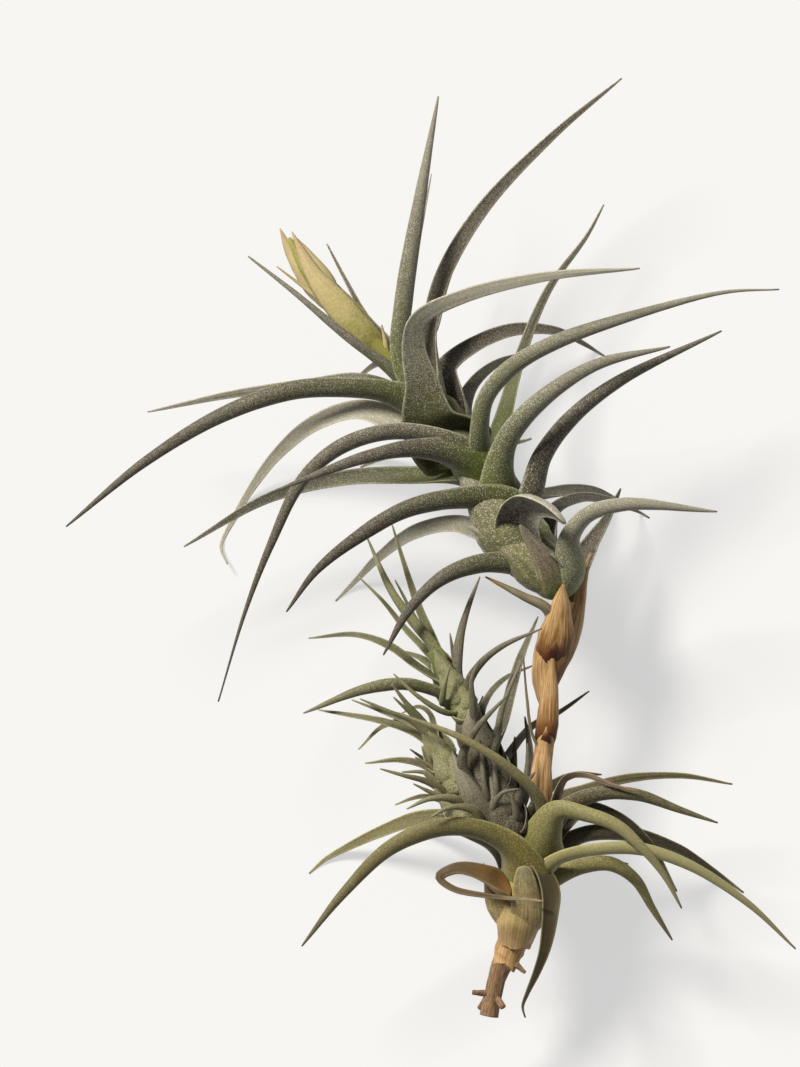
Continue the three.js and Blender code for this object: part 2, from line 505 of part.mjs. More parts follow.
const shoots = [
  { name: 'mother_rosette', colour: olive, core: motherCore, leaves: motherLeaves, look: largeLeaf },
  { name: 'upper_rosette', colour: silverGreen, core: upperCore, leaves: upperLeaves, look: largeLeaf },
  { name: 'dry_stalk', colour: straw, core: stalkCore, leaves: stalkLeaves, look: smallLeaf },
  { name: 'root_stub', colour: rootBrown, core: rootCore, leaves: [], ends: rootEnds, look: smallLeaf },
  { name: 'dry_leaf_curled', colour: deadTan, core: curledCore, leaves: curledLeaves, look: largeLeaf },
  { name: 'dry_leaf_right', colour: deadTan, core: dryRightCore, leaves: dryRightLeaves, look: smallLeaf },
  { name: 'pup_grey', colour: greyShoot, core: greyCore, leaves: greyLeaves, look: smallLeaf },
  { name: 'pup_green', colour: freshGreen, core: greenCore, leaves: greenLeaves, look: smallLeaf },
  { name: 'pup_left', colour: freshGreen, core: leftCore, leaves: leftLeaves, look: smallLeaf },
  { name: 'pup_low', colour: freshGreen, core: lowCore, leaves: lowLeaves, look: smallLeaf },
  { name: 'flower_spike', colour: budYellow, core: budCore, leaves: budLeaves, look: smallLeaf },
];

// The ring sets of a shoot's stem, root ends and leaves
function shootRings({ core, leaves, ends = [], look }) {
  return [
    stem(core),
    ...ends.map((end) => stem(end, rootSides, rootSteps)),
    ...leaves.map((row) => leaf(core, row, look)),
  ];
}

// Each shoot is cut back from those before it in the list, so it sits on them with a small clearance
const plant = new THREE.Group();
const placed = [];
for (const shoot of shoots) {
  const parts = shootRings(shoot);
  let solid = joined(parts.map((rings) => toSolid(loft(rings)))).subtract(table);
  for (const other of placed) {
    solid = solid.subtract(other);
  }
  const body = largestBody(solid.translate([-plantCentre[0], -plantCentre[1], 0]));
  placed.push(joined(parts.flatMap(clearance)));
  const geometry = toGeometry(body);
  geometry.computeVertexNormals();
  const finish = new THREE.MeshStandardMaterial({ color: shoot.colour, roughness: 0.75, metalness: 0 });
  const mesh = new THREE.Mesh(geometry, finish);
  mesh.name = shoot.name;
  plant.add(mesh);
}

export default plant;
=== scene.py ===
import bpy
import math
import numpy as np
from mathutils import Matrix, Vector


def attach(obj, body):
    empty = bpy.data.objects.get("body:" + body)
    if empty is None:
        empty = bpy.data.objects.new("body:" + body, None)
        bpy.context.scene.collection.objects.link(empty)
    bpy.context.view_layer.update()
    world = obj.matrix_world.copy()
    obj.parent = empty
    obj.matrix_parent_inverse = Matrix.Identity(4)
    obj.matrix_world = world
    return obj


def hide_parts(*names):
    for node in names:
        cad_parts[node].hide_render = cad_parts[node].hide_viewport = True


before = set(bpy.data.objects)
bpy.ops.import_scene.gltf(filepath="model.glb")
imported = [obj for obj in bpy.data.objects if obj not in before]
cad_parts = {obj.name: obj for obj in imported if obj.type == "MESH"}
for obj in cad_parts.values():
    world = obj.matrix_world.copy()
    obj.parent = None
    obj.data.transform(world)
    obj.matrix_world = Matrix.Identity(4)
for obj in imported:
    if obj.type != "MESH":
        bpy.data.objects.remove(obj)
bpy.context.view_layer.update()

# The leaf tables are in millimetres on the surface that the plant lies on, with z up. They follow the
# points of the part's own source, apart from a few front leaves that turn their hollow side to the
# viewer.
tableCentre = np.array([0.5, 0.6, 0.0])      # the part's origin in the leaf tables
millimetre = 0.001
up = np.array([0.0, 0.0, 1.0])


# Colours

def hexColour(code):                          # six hex digits, as linear light
    parts = [int(code[i:i + 2], 16) / 255 for i in (0, 2, 4)]
    return (*[p / 12.92 if p <= 0.04045 else ((p + 0.055) / 1.055) ** 2.4 for p in parts], 1.0)


# Leaf tables. at: where a leaf leaves its stem, from 0 to 1 along the stem. width, sheath: how wide its
# blade and its sheath are. reach: how far the sheath's width carries on. taper: below 1 the blade stays
# wide for longer. belly: widest in its middle, as a bract. gutter: how deep its channel is. roll: how
# many degrees it is turned about its own length. face: how much it twists its face up. path: the points
# it runs through after its root.
# Colours, mostly from 0 to 1. green: fresh green at the foot, as far as spread. brown: bare brown
# flesh. scorch: brown at the foot, the dry brown of the stalk's bracts and painted shade on the
# two front hoods. bare: less bloom and more brown towards the tip. pale: more bloom. husk: dry tan
# streaks. inside: how dark the hollow side is, as painted shade.

def leaf(at, width, **more):                  # one row of a leaf table
    return {"at": at, "width": width, **more}


upperRosetteCore = {
  "path": [[41, -13, 42], [34, -3, 43], [21, 15, 44], [10, 32, 45], [0, 43, 46], [-9, 53, 47]],
  "radii": [4.5, 6.6, 7.8, 8, 7.5, 6.2, 3.5],
}

upperRosetteLeaves = [
  # Standing up from the heart
  leaf(0.9, 9, sheath=13, green=0.6, pale=0.1,
       path=[[-8, 57, 51], [-7.5, 75, 54], [-3, 105, 55], [2.5, 136, 50]]),
  leaf(0.93, 4.6, sheath=7, face=0, path=[[-7, 62, 40], [-4.5, 85, 38], [0.5, 113, 38]]),
  leaf(0.86, 7.6, sheath=13, brown=0.35, pale=0.05, bare=0.5,
       path=[[1.8, 52, 44], [0.5, 66, 41], [4.2, 82.1, 40], [15.8, 102.2, 40], [36.5, 124, 41],
             [57.5, 141.5, 45]]),
  # Towards the front and over to the right
  # The hood: painted shade darkens its foot and hollow side (less bloom, brown at the foot, a darker
  # hollow colour), and its tip turns paler
  leaf(0.7, 9, sheath=28, reach=25, roll=180, gutter=0.62, pale=-1.0, inside=0.5, green=0.4, spread=0.25,
       scorch=0.9, bare=-5,
       path=[[0, 38, 57.5], [-2.3, 49, 62], [-5, 61, 66], [-3.4, 69, 71], [9, 75.5, 76], [34, 81.5, 79],
             [62.5, 84, 76]]),
  leaf(0.58, 9.6, sheath=16, reach=15, taper=1.25, green=0.5, pale=0.3,
       path=[[15.5, 35, 59], [17.2, 45.2, 63], [24.4, 54.2, 63], [37.6, 62, 64], [63, 70.8, 64],
             [88, 77.1, 60.5], [104.5, 78, 57]]),
  leaf(0.46, 9.5, sheath=18, reach=19, green=0.7, pale=0.1,
       path=[[21.3, 22, 53], [23.7, 32.8, 59], [32, 43.5, 62], [48.8, 55, 61], [71.9, 60.9, 54]]),
  # Right-hand leaves behind them
  leaf(0.56, 5.4, sheath=12, reach=22, green=0.8, pale=-0.35,
       path=[[22, 37, 36], [27, 57, 29], [35.5, 78, 26], [47.4, 94.7, 24], [52.4, 104, 25]]),
  leaf(0.4, 7.5, sheath=16, reach=20, brown=0.7, pale=-0.15, bare=0.6,
       path=[[31, 17, 47], [34.5, 28, 49], [42.5, 39.3, 49], [56.4, 50.4, 47], [87.6, 65.8, 40]]),
  leaf(0.74, 8.4, sheath=16, reach=24, brown=0.8,
       path=[[6, 46, 38], [5, 53.6, 33], [11.6, 60.2, 28], [24.3, 66, 21], [38, 66, 13], [46.5, 62.3, 4],
             [50.5, 60, 0.4], [53.5, 58.2, -0.4]]),
  leaf(0.5, 3, sheath=6, path=[[22, 30, 37], [30.5, 33.5, 34]]),
  # Left-hand leaves
  leaf(0.88, 5.8, sheath=10, pale=0.6,
       path=[[-20, 50.6, 41], [-37, 49.6, 36], [-60, 46.7, 32], [-85, 41.5, 30]]),
  leaf(0.82, 9, sheath=20, reach=20, green=0.4, brown=0.1, pale=-0.2, bare=1.1,
       path=[[-11, 46, 55], [-25, 48, 60], [-41.4, 47.4, 62], [-62.4, 40.2, 62], [-85.4, 26.3, 59],
             [-109, 7, 54]]),
  leaf(0.74, 10.4, sheath=16, reach=18, taper=1.1, pale=2.0, inside=0.1,
       path=[[-9, 38, 37], [-21, 41.8, 30], [-34, 38.2, 22], [-45.4, 29.3, 12], [-53.5, 19, 3.5],
             [-59.5, 9, -0.5], [-63.2, 0.8, 0.6], [-61.2, -4.3, 4]]),
  leaf(0.6, 10.5, sheath=18, taper=1.6, brown=0.05, pale=0.3, bare=1.5,
       path=[[7, 31.5, 58], [-10, 35, 61], [-26, 31, 61], [-38, 21, 60], [-47.5, 2, 57],
             [-55.3, -18.2, 52], [-63.5, -45.5, 46]]),
  leaf(0.54, 8.5, sheath=20, reach=21, green=2.0, spread=0.22, brown=0.4, pale=-0.2, bare=0.8,
       path=[[11, 27, 56], [-4, 30.2, 64], [-19, 27.7, 69], [-34, 22.5, 69], [-45.5, 18, 66]]),
  leaf(0.5, 8.2, sheath=14, reach=17, green=0.6, pale=0.0,
       path=[[11, 21, 44], [-5, 21.9, 41], [-25, 21.6, 38], [-48, 15.8, 35], [-74, 1, 32]]),
  leaf(0.4, 9, sheath=17, reach=18, green=0.4, brown=0.35, pale=-0.3, bare=1.2,
       path=[[20, 14, 51], [8, 14.8, 57], [-7, 12, 60], [-22, 3.5, 61], [-34, -6.2, 59],
             [-43, -18.5, 55]]),
  leaf(0.3, 8, sheath=12, pale=1.9, inside=0.1,
       path=[[19, 4, 37], [8, 7.6, 30], [-4, 5.4, 22], [-15, -2, 10], [-22, -9, 2], [-25.5, -12.5, 0.3],
             [-28.5, -15.5, -0.4]]),
  leaf(0.16, 8.6, sheath=15, reach=17, green=0.5, brown=0.2, pale=-0.3, bare=0.9,
       path=[[27, -5, 49], [15, -4.5, 54], [4, -8.3, 56], [-6, -17.6, 56], [-14, -31.5, 53]]),
  # The short front leaves at the foot of the plantlet
  # The curled hood: painted shade darkens its hollow side strongly and its foot (a darker hollow colour,
  # less bloom, brown at the foot), and its tip turns paler
  leaf(0.18, 19, sheath=22, reach=12, taper=0.5, face=0, roll=145, inside=1.9, pale=-0.6, scorch=0.6,
       bare=-4,
       path=[[28, 2.5, 53], [27, 10, 60], [30, 14, 66], [36, 12.3, 73], [40.5, 8, 76.5]]),
  leaf(0.04, 11, sheath=18, reach=10, taper=0.7, green=1.2, spread=0.36, husk=0.35, pale=0.25,
       path=[[37.5, -9, 51], [33, -1.5, 58], [26.8, 7.5, 64]]),
  leaf(0.06, 8.5, sheath=16, reach=17, pale=0.7, green=0.6, spread=0.25,
       path=[[43, -6, 50], [42, 2.5, 56], [47, 10, 60], [58, 13.5, 61], [86, 11.5, 53]]),
  leaf(0.2, 6.5, sheath=11, brown=0.9,
       path=[[37, 10.8, 34], [44.4, 15.3, 27], [53, 15, 18], [60, 12.7, 6.5], [63.5, 11.3, 0.7],
             [66.5, 9.6, -0.4]]),
  leaf(0.04, 7.5, sheath=12, brown=0.7, pale=-0.2,
       path=[[44, -8, 37], [48, 1, 32], [53.5, 10, 28], [57.5, 18.5, 25]]),
  # The two thin leaves beside the bud
  leaf(0.92, 4.2, sheath=7, brown=0.4, green=0.3,
       path=[[-13, 55, 51], [-25, 64, 54], [-40.5, 77, 55], [-54.5, 88, 53]]),
  leaf(0.94, 3.1, sheath=4.6, green=0.4,
       path=[[-11, 61, 44], [-19, 70, 41], [-25, 80.5, 40], [-31, 92, 40]]),
  # Leaves on the far side, which the plantlet lies on
  leaf(0.24, 8, sheath=13, path=[[30, 4, 31], [28, 8, 18], [22, 8, 6], [17, 6, 0.7], [12, 4, -0.4]]),
  leaf(0.36, 8, sheath=13,
       path=[[29, 14, 31], [40, 17.5, 20], [50, 17.8, 8], [56, 15.5, 0.8], [60, 13.6, -0.4]]),
  leaf(0.48, 8.5, sheath=13,
       path=[[15, 25, 31], [7, 30, 19], [-6, 30, 8], [-15, 27.5, 0.8], [-21, 25, -0.4]]),
  leaf(0.62, 8.5, sheath=13, path=[[10, 37, 32], [12, 48, 21], [20, 56, 11], [32, 60, 3.5]]),
  leaf(0.8, 8, sheath=12, path=[[-3, 49, 34], [-9, 56, 24], [-16, 56, 13], [-25, 49, 4]]),
  leaf(0.87, 6, sheath=11, face=0, path=[[-3, 56, 36], [2, 67, 28], [5, 79, 24], [11, 95, 22]]),
]

# Sheaths that clasp the foot of the plantlet, below its lowest leaves
upperRosetteSheaths = [
  leaf(0.05, 16, belly=True, green=0.7, spread=0.7, husk=0.25, pale=0.2,
       path=[[37, -9, 48.5], [29, -2, 52.5], [20, 4, 53.5], [11, 7, 52]]),
  leaf(0.06, 13, belly=True, green=1.0, spread=1.2, husk=0.45, pale=0.7,
       path=[[38.5, -9.5, 46.5], [36.5, -4, 51], [34, 4, 54]]),
  leaf(0.22, 20, belly=True, green=0.5, spread=0.8, husk=0.12, pale=0.1,
       path=[[25, 3, 52], [19, 11, 54], [13, 18, 54], [8, 24, 52]]),
]

motherRosetteCore = {
  "path": [[25.4, -119, 34.2], [27.3, -107, 35], [31, -95, 36], [33, -84, 37], [33.2, -77, 38]],
  "radii": [4.9, 6.2, 8.5, 9, 8, 6, 3.8],
}

motherRosetteLeaves = [
  # Left-hand leaves
  leaf(0.52, 9.6, sheath=22, reach=22, green=0.4, brown=0.1, pale=0.0, bare=0.6,
       path=[[24.8, -90.6, 46], [15, -84.6, 51], [3, -83.6, 53], [-11.8, -89.3, 52], [-26, -103, 47],
             [-38.5, -119, 40]]),
  leaf(0.62, 9, sheath=14, pale=0.7, green=0.3,
       path=[[20, -83, 31], [9, -81.4, 26], [-3, -81.2, 20], [-15.2, -85.4, 10], [-26, -90.6, 2],
             [-32, -94, 0.3], [-36.5, -98, -0.4]]),
  leaf(0.72, 4, sheath=8, path=[[20, -81, 40], [11, -80, 44], [1, -79.5, 45]]),
  # Right-hand leaves
  leaf(0.66, 7.6, sheath=22, reach=19, green=0.7, pale=0.5,
       path=[[33.5, -86, 48], [38, -78.5, 54], [48, -79.7, 57], [56.2, -82.8, 57.5], [63.3, -89, 56],
             [70, -97.2, 52], [75.5, -107.5, 47]]),
  leaf(0.68, 7, sheath=11, brown=0.8, pale=-0.3,
       path=[[45, -78.5, 33], [55, -80, 30], [65, -87.5, 25], [74.5, -103, 20]]),
  leaf(0.48, 6.4, sheath=14, reach=14, pale=1.3, green=0.3,
       path=[[38.6, -93, 48], [50, -90, 53], [63.3, -89.8, 53], [78.5, -94.9, 50], [96, -106.5, 43],
             [110, -120, 34]]),
  leaf(0.58, 7.5, sheath=12, brown=0.8, pale=-0.3,
       path=[[44, -87, 31], [58, -85.5, 26], [74, -90, 16], [85.5, -97, 4.5], [90.5, -100.5, 0.5],
             [95, -103.8, -0.4]]),
  leaf(0.42, 7.5, sheath=13, green=0.4, pale=-0.15,
       path=[[38, -99, 40], [46, -95.2, 42], [54.2, -94.4, 42], [61.7, -99, 39], [66.9, -107.7, 34],
             [73, -117.5, 27]]),
  leaf(0.84, 5, sheath=9, brown=0.5,
       path=[[38, -76, 38], [47, -72.1, 38], [60, -68.6, 37], [76, -67.9, 34], [91, -70.5, 30]]),
  leaf(0.8, 7.4, sheath=12, brown=1, pale=-0.35,
       path=[[41, -78, 43], [50, -73.5, 46], [62, -73.5, 46], [75, -78, 42], [86.5, -82, 37]]),
  # The leaf that hooks down in front
  leaf(0.4, 11, sheath=17, reach=11, taper=1.2, brown=0.6, pale=-1.5,
       path=[[33, -97, 47], [35.8, -102.5, 53.5], [35.8, -109, 56], [34.4, -119, 55], [32.1, -126, 52],
             [29.1, -133, 48], [27.8, -137, 45], [28.6, -140.3, 43]]),
  leaf(0.22, 11, sheath=12.5, reach=12, taper=0.3, gutter=0.4, green=0.3, pale=0.6, husk=0.45,
       path=[[28.4, -111.5, 42.2], [28.8, -105.5, 46.4], [28.4, -99.3, 49.6], [28, -94.6, 51]]),
  # The leaf that crosses in front of the side shoots
  leaf(0.78, 5.5, sheath=11, reach=8, brown=0.4,
       path=[[34, -81, 48], [32, -74, 54], [25, -66.5, 59], [11, -57, 62], [-9, -49, 59]]),
  # Leaves on the far side
  leaf(0.34, 8, sheath=13, path=[[30, -101, 24], [33, -105, 11], [35.2, -109.5, 1], [37, -113.2, -0.4]]),
  leaf(0.44, 8, sheath=13,
       path=[[22, -92, 25], [12, -85.5, 15], [1, -83.5, 6], [-5, -84.5, 0.6], [-10, -86.5, -0.4]]),
  leaf(0.5, 8, sheath=13, path=[[40, -95, 24], [50, -94, 12], [60, -95, 3.5]]),
  leaf(0.7, 7, sheath=11, path=[[32, -79, 27], [36, -72, 17], [44, -68, 9], [52, -68, 4]]),
]

# An old sheath on the left of the stem, and two torn ones round its lower end
motherRosetteSheaths = [
  leaf(0.2, 9, belly=True, husk=0.5, green=0.3, pale=0.7,
       path=[[20.5, -106, 41], [18.2, -100, 43.5], [16, -94, 43.5]]),
]
outerSheathCore = {
  "path": [[25.4, -117.6, 35], [26.8, -110, 36.5], [29, -101, 35]],
  "radii": [5.5, 7.4, 7.6],
}
innerSheathCore = {
  "path": [[22.6, -125, 34], [23.6, -121, 34.3], [25.6, -116, 35]],
  "radii": [3.5, 4.5, 4.7],
}

greyPupCore = {
  "path": [[24, -85, 44], [18, -71, 45], [13, -57, 46], [10, -44, 46]],
  "radii": [4.2, 5, 4.4, 2.6],
}

greyPupLeaves = [
  leaf(0.86, 5.2, sheath=8, path=[[8, -38, 47], [9, -26, 46], [11.5, -17, 45], [15, -8, 43]]),
  leaf(0.84, 4, sheath=5, path=[[7.5, -34, 41], [6, -25, 38]]),
  leaf(0.74, 4.6, sheath=7, path=[[11.5, -41, 50], [15, -34.4, 53], [21.4, -29, 55], [33.5, -23.5, 55]]),
  leaf(0.66, 4, sheath=6, path=[[13, -47, 53], [12.5, -39, 56], [14.5, -33.5, 58]]),
  leaf(0.66, 3.6, sheath=6, path=[[16.5, -46, 42], [22, -39, 39], [31.5, -34.5, 35]]),
  leaf(0.54, 6.6, sheath=10.5, reach=9,
       path=[[21.8, -53, 46], [24.8, -41, 44], [27.4, -32, 42], [32.5, -20, 38]]),
  leaf(0.46, 3.6, sheath=6, path=[[20, -58.5, 52], [21.5, -48, 53], [27.5, -33, 50]]),
  leaf(0.24, 5, sheath=11, reach=9, brown=0.4, pale=-0.3,
       path=[[13, -72, 51], [9.5, -63.5, 55], [13, -54.8, 58], [23.5, -43, 59]]),
  leaf(0.4, 4.6, sheath=7, path=[[25, -60, 40], [31, -53, 33], [38, -49.5, 30], [48, -42.5, 28]]),
  leaf(0.1, 4.4, sheath=6, path=[[28, -76, 46], [29.4, -66, 49], [29.2, -58, 51]]),
  leaf(0.2, 3, sheath=4, path=[[17, -74, 53], [15, -56.5, 54]]),
  leaf(0.22, 3.4, sheath=5, path=[[20, -73, 52], [19, -62, 53]]),
  leaf(0.06, 4, sheath=6, path=[[19, -79, 51], [21.5, -73, 55], [26.5, -71.5, 55]]),
  leaf(0.04, 4.4, sheath=6, path=[[26, -80, 51], [24.3, -73.5, 55]]),
  leaf(0.5, 4.4, sheath=7, path=[[14, -60, 37], [13, -53, 28], [16, -44, 22]]),
  leaf(0.34, 4.4, sheath=7, path=[[12, -69, 38], [3, -66, 31], [-6, -60, 27]]),
]

# Painted shade: leaves deep in the tuft, dark brown and with less bloom where the shade between its
# leaves falls; and grey sheaths round its foot
greyPupShadeAndSheaths = [
  leaf(0.06, 6, sheath=8, brown=1, pale=-0.6,
       path=[[27, -79, 43], [29.5, -70, 42], [30, -60, 40], [28.5, -50, 38]]),
  leaf(0.16, 6, sheath=8, brown=1, pale=-0.6, path=[[24, -76, 42], [25, -66, 42], [25.5, -56, 41]]),
  leaf(0.1, 5, sheath=7, brown=0.8, pale=-0.3,
       path=[[25.5, -79, 48], [27.5, -72, 50], [31.5, -66.5, 51]]),
  leaf(0.0, 9, belly=True, brown=0.6, pale=0.1, path=[[22, -83, 49], [19.5, -76, 51.5], [18, -68, 52]]),
  leaf(0.0, 9, belly=True, brown=0.4, pale=0.5,
       path=[[16, -80, 50], [12.5, -74, 53.5], [9, -67, 54], [6.5, -60, 52.5]]),
  leaf(0.44, 8, belly=True, brown=0.4, pale=0.3,
       path=[[14, -60, 50.5], [12, -53, 51.5], [12, -45, 50.5]]),
]

greenPupCore = {
  "path": [[12, -50, 47], [7, -41, 47], [1, -30, 47]],
  "radii": [3, 3.4, 2.2],
}

greenPupLeaves = [
  leaf(0.84, 4.8, sheath=6, path=[[0, -28, 48], [-5.5, -21, 48], [-11.5, -12.5, 47], [-19, 4, 45]]),
  leaf(0.82, 3.8, sheath=5, path=[[1, -27, 45], [-3, -18, 43], [-6.5, -8, 42], [-11.5, 8, 40]]),
  leaf(0.74, 3, sheath=4.5, path=[[-1.5, -30, 43], [-8, -23, 40], [-14, -15.5, 39], [-21.5, -8, 38]]),
  leaf(0.8, 2.6, sheath=4, path=[[-2, -25, 43.5], [-10.5, -9, 41]]),
  leaf(0.5, 4.4, sheath=7, path=[[-4, -35, 45.5], [-12, -29, 44], [-22, -25.5, 42], [-36.5, -26.5, 40]]),
  leaf(0.22, 7, sheath=9, brown=0.5, pale=-0.4,
       path=[[2, -43, 49], [-8, -40.5, 51], [-20, -42, 50], [-38, -49, 44]]),
  leaf(0.16, 2.8, sheath=4.5, path=[[5, -49, 52], [-4, -43.5, 56], [-11, -37, 57]]),
  leaf(0.4, 3.4, sheath=5, path=[[4.2, -46, 52], [4.2, -41.5, 55], [6, -34.5, 56]]),
  leaf(0.6, 4, sheath=6, path=[[2, -36, 39], [-4, -32, 31], [-12, -30, 26]]),
]

leftPupCore = {
  "path": [[9.5, -71.5, 49], [4.5, -63, 48.5], [-1, -54.5, 49]],
  "radii": [3, 3.8, 3.2, 2],
}

leftPupLeaves = [
  leaf(0.86, 3.6, sheath=5, path=[[-2, -52, 52], [-7, -46, 56], [-11.5, -40, 59]]),
  leaf(0.84, 2.6, sheath=4, path=[[-4, -51, 50.5], [-11, -44, 55]]),
  leaf(0.66, 4, sheath=6, path=[[-5, -55, 47.5], [-14, -51.5, 46], [-33.5, -48, 42]]),
  leaf(0.8, 3, sheath=4.5, path=[[-4, -53, 46], [-13, -49, 42.5], [-23.5, -45, 40]]),
  leaf(0.84, 2.8, sheath=4, path=[[-5, -51.5, 52], [-12, -48.5, 55], [-21, -44.5, 57]]),
  leaf(0.7, 3.6, sheath=5, path=[[-5, -52, 44], [-14, -53, 39], [-21.5, -60, 37]]),
  leaf(0.76, 3, sheath=5, path=[[0, -49, 47], [-3.5, -47, 45], [-8.5, -49, 44]]),
]

lowPupCore = {
  "path": [[17, -85, 49], [9, -77, 48], [3, -70, 48]],
  "radii": [2.6, 3.6, 3, 2],
}

lowPupLeaves = [
  leaf(0.9, 3.6, sheath=5, path=[[0, -65.5, 46], [-8, -63, 45], [-19.5, -64, 43]]),
  leaf(0.86, 2.4, sheath=4, path=[[1, -65.5, 50], [-4.5, -62, 52]]),
  leaf(0.8, 2.8, sheath=4, path=[[-1, -67, 49], [-8.5, -66.5, 50]]),
  leaf(0.84, 3, sheath=4.5, path=[[-1, -69.5, 51], [-8, -67.5, 54], [-15, -65.5, 55]]),
  leaf(0.7, 2.6, sheath=4, path=[[1, -73, 52], [-5, -70, 55]]),
  leaf(0.76, 2.4, sheath=4, path=[[3, -71, 53], [-2, -67, 56]]),
  leaf(0.6, 3, sheath=5, path=[[-1, -74, 46.5], [-5, -74.5, 45], [-10.5, -76.5, 44]]),
  leaf(0.4, 4, sheath=6, path=[[8, -75, 54], [0, -74.5, 57], [-7, -77.5, 57]]),
  leaf(0.14, 4, sheath=6, path=[[13, -78, 55], [6, -77, 58], [0, -80, 58]]),
]

dryStalkCore = {
  "path": [[33.3, -79, 39.5], [33.8, -65, 41], [34.5, -57, 41], [35.7, -47, 41], [36, -36, 41],
    [38, -25, 41.5], [40.5, -15, 42]],
  "radii": [2.9, 2.7, 2.9, 2.6, 2.8, 2.8, 3.2],
}

dryStalkLeaves = [
  # Papery bracts, from the foot of the stalk to its top
  leaf(0.04, 7.2, belly=True, path=[[33.2, -69, 43.3], [34, -61, 43.8], [35, -53, 44.4]]),
  leaf(0.3, 6.8, belly=True, scorch=1.4, path=[[35.3, -52, 43.5], [36, -42, 44.3], [37, -29.5, 46.2]]),
  leaf(0.46, 7.4, belly=True, path=[[33.4, -39, 42.8], [33.6, -30, 43.6], [36, -19, 45]]),
  leaf(0.7, 11, belly=True, scorch=1.2, path=[[37.6, -28, 46], [38.8, -19.5, 49.3], [40, -9, 51.5]]),
  leaf(0.58, 9.4, belly=True, scorch=0.7,
       path=[[40.2, -31, 42.7], [43, -21, 42], [45.4, -10, 41], [48.2, -1, 41]]),
  # Dark torn edges where two bracts leave the stalk
  leaf(0.34, 3.8, belly=True, brown=1.1,
       path=[[34.7, -57.6, 43.6], [34.8, -56, 44.8], [35.1, -53.8, 45.1]]),
  leaf(0.7, 4.6, belly=True, brown=1.1, path=[[36.8, -32, 45.6], [37.1, -30, 47.2], [37.7, -27, 48.1]]),
  # The dry leaf at the top of the stalk
  leaf(0.84, 5.5, sheath=8, green=1.2, spread=4, pale=-0.3,
       path=[[35, -18, 49], [28, -14, 50], [16.5, -8, 50.5]]),
  # The loose dry strand
  leaf(0.3, 1.4, sheath=1.8, green=1.2, spread=4, path=[[30.5, -55, 44], [29, -44, 47], [28, -32, 48]]),
]

curledLeafCore = { "path": [[24, -104, 44.5], [21.5, -101, 46.5]], "radii": [1.2, 1.6] }
curledLeafLeaves = [
  leaf(0.3, 4.2, sheath=11.5, reach=13,
       path=[[17, -98, 49], [8.2, -95.5, 50.5], [2.7, -98.2, 51.5], [6.6, -101.5, 54], [16, -103.4, 58],
             [34, -105, 61]]),
]

rightDryLeafCore = { "path": [[36.5, -76.5, 42], [39.5, -72, 44]], "radii": [1.2, 1.4] }
rightDryLeafLeaves = [
  leaf(0.4, 3.2, sheath=4, path=[[41, -68, 45], [47, -67.5, 46.5], [55, -70.5, 48.5], [63, -72.5, 48.5]]),
]

flowerBudCore = {
  "path": [[-11.5, 56.5, 47.8], [-20, 65, 49], [-27.5, 73, 50], [-34.3, 81, 50.5], [-39.3, 88, 50.5],
    [-42.6, 93.4, 50.5]],
  "radii": [2.4, 3.3, 3.6, 3.7, 2.9, 0.9],
}
flowerBudLeaves = [
  leaf(0.1, 9, belly=True,
       path=[[-20.5, 65.5, 52.2], [-28.5, 74.5, 53.7], [-35.5, 83.5, 53.9], [-41.4, 95.4, 51.5]]),
  leaf(0.14, 9, belly=True,
       path=[[-20, 65.5, 46.3], [-28, 74.5, 46.3], [-35, 83.5, 47], [-40.5, 93, 49.5]]),
  leaf(0.36, 8, belly=True,
       path=[[-30.5, 74, 51], [-37.5, 82.5, 51.5], [-42, 89.5, 51.2], [-45, 96.4, 51]]),
  leaf(0.44, 6.4, belly=True, path=[[-30, 79.5, 51.5], [-35.5, 87, 51.5], [-41.2, 94.6, 50.5]]),
  leaf(0.2, 2.4, sheath=4, path=[[-26, 69.5, 50.5], [-39.5, 80, 52], [-46, 85, 52.5]]),
  leaf(0.04, 2.4, sheath=4, path=[[-13, 61, 50.5], [-14.5, 67.5, 51.5]]),
]

rootStubCore = {
  "path": [[24.4, -118.4, 34], [22, -124, 33.5], [19.6, -131, 32.5], [17.8, -140.1, 31.5]],
  "radii": [4.3, 3.4, 2.6, 2.6, 2.9],
}
rootStubEnds = [
  { "path": [[19, -133.5, 32.5], [12.8, -133, 34]], "radii": [1.3, 0.7] },
  { "path": [[19.5, -134, 32.5], [22, -137.5, 35]], "radii": [1.3, 0.9] },
  { "path": [[22.5, -121.5, 34.5], [28.6, -127, 37]], "radii": [1.9, 0.5] },
  { "path": [[19, -132, 32], [15, -138, 27]], "radii": [1.3, 0.8] },
]


# Shapes

def unit(a):                                  # rows of a made one long
    return a / np.maximum(np.linalg.norm(a, axis=-1, keepdims=True), 1e-12)


curveSteps = 60                               # fine steps between two points of a curve


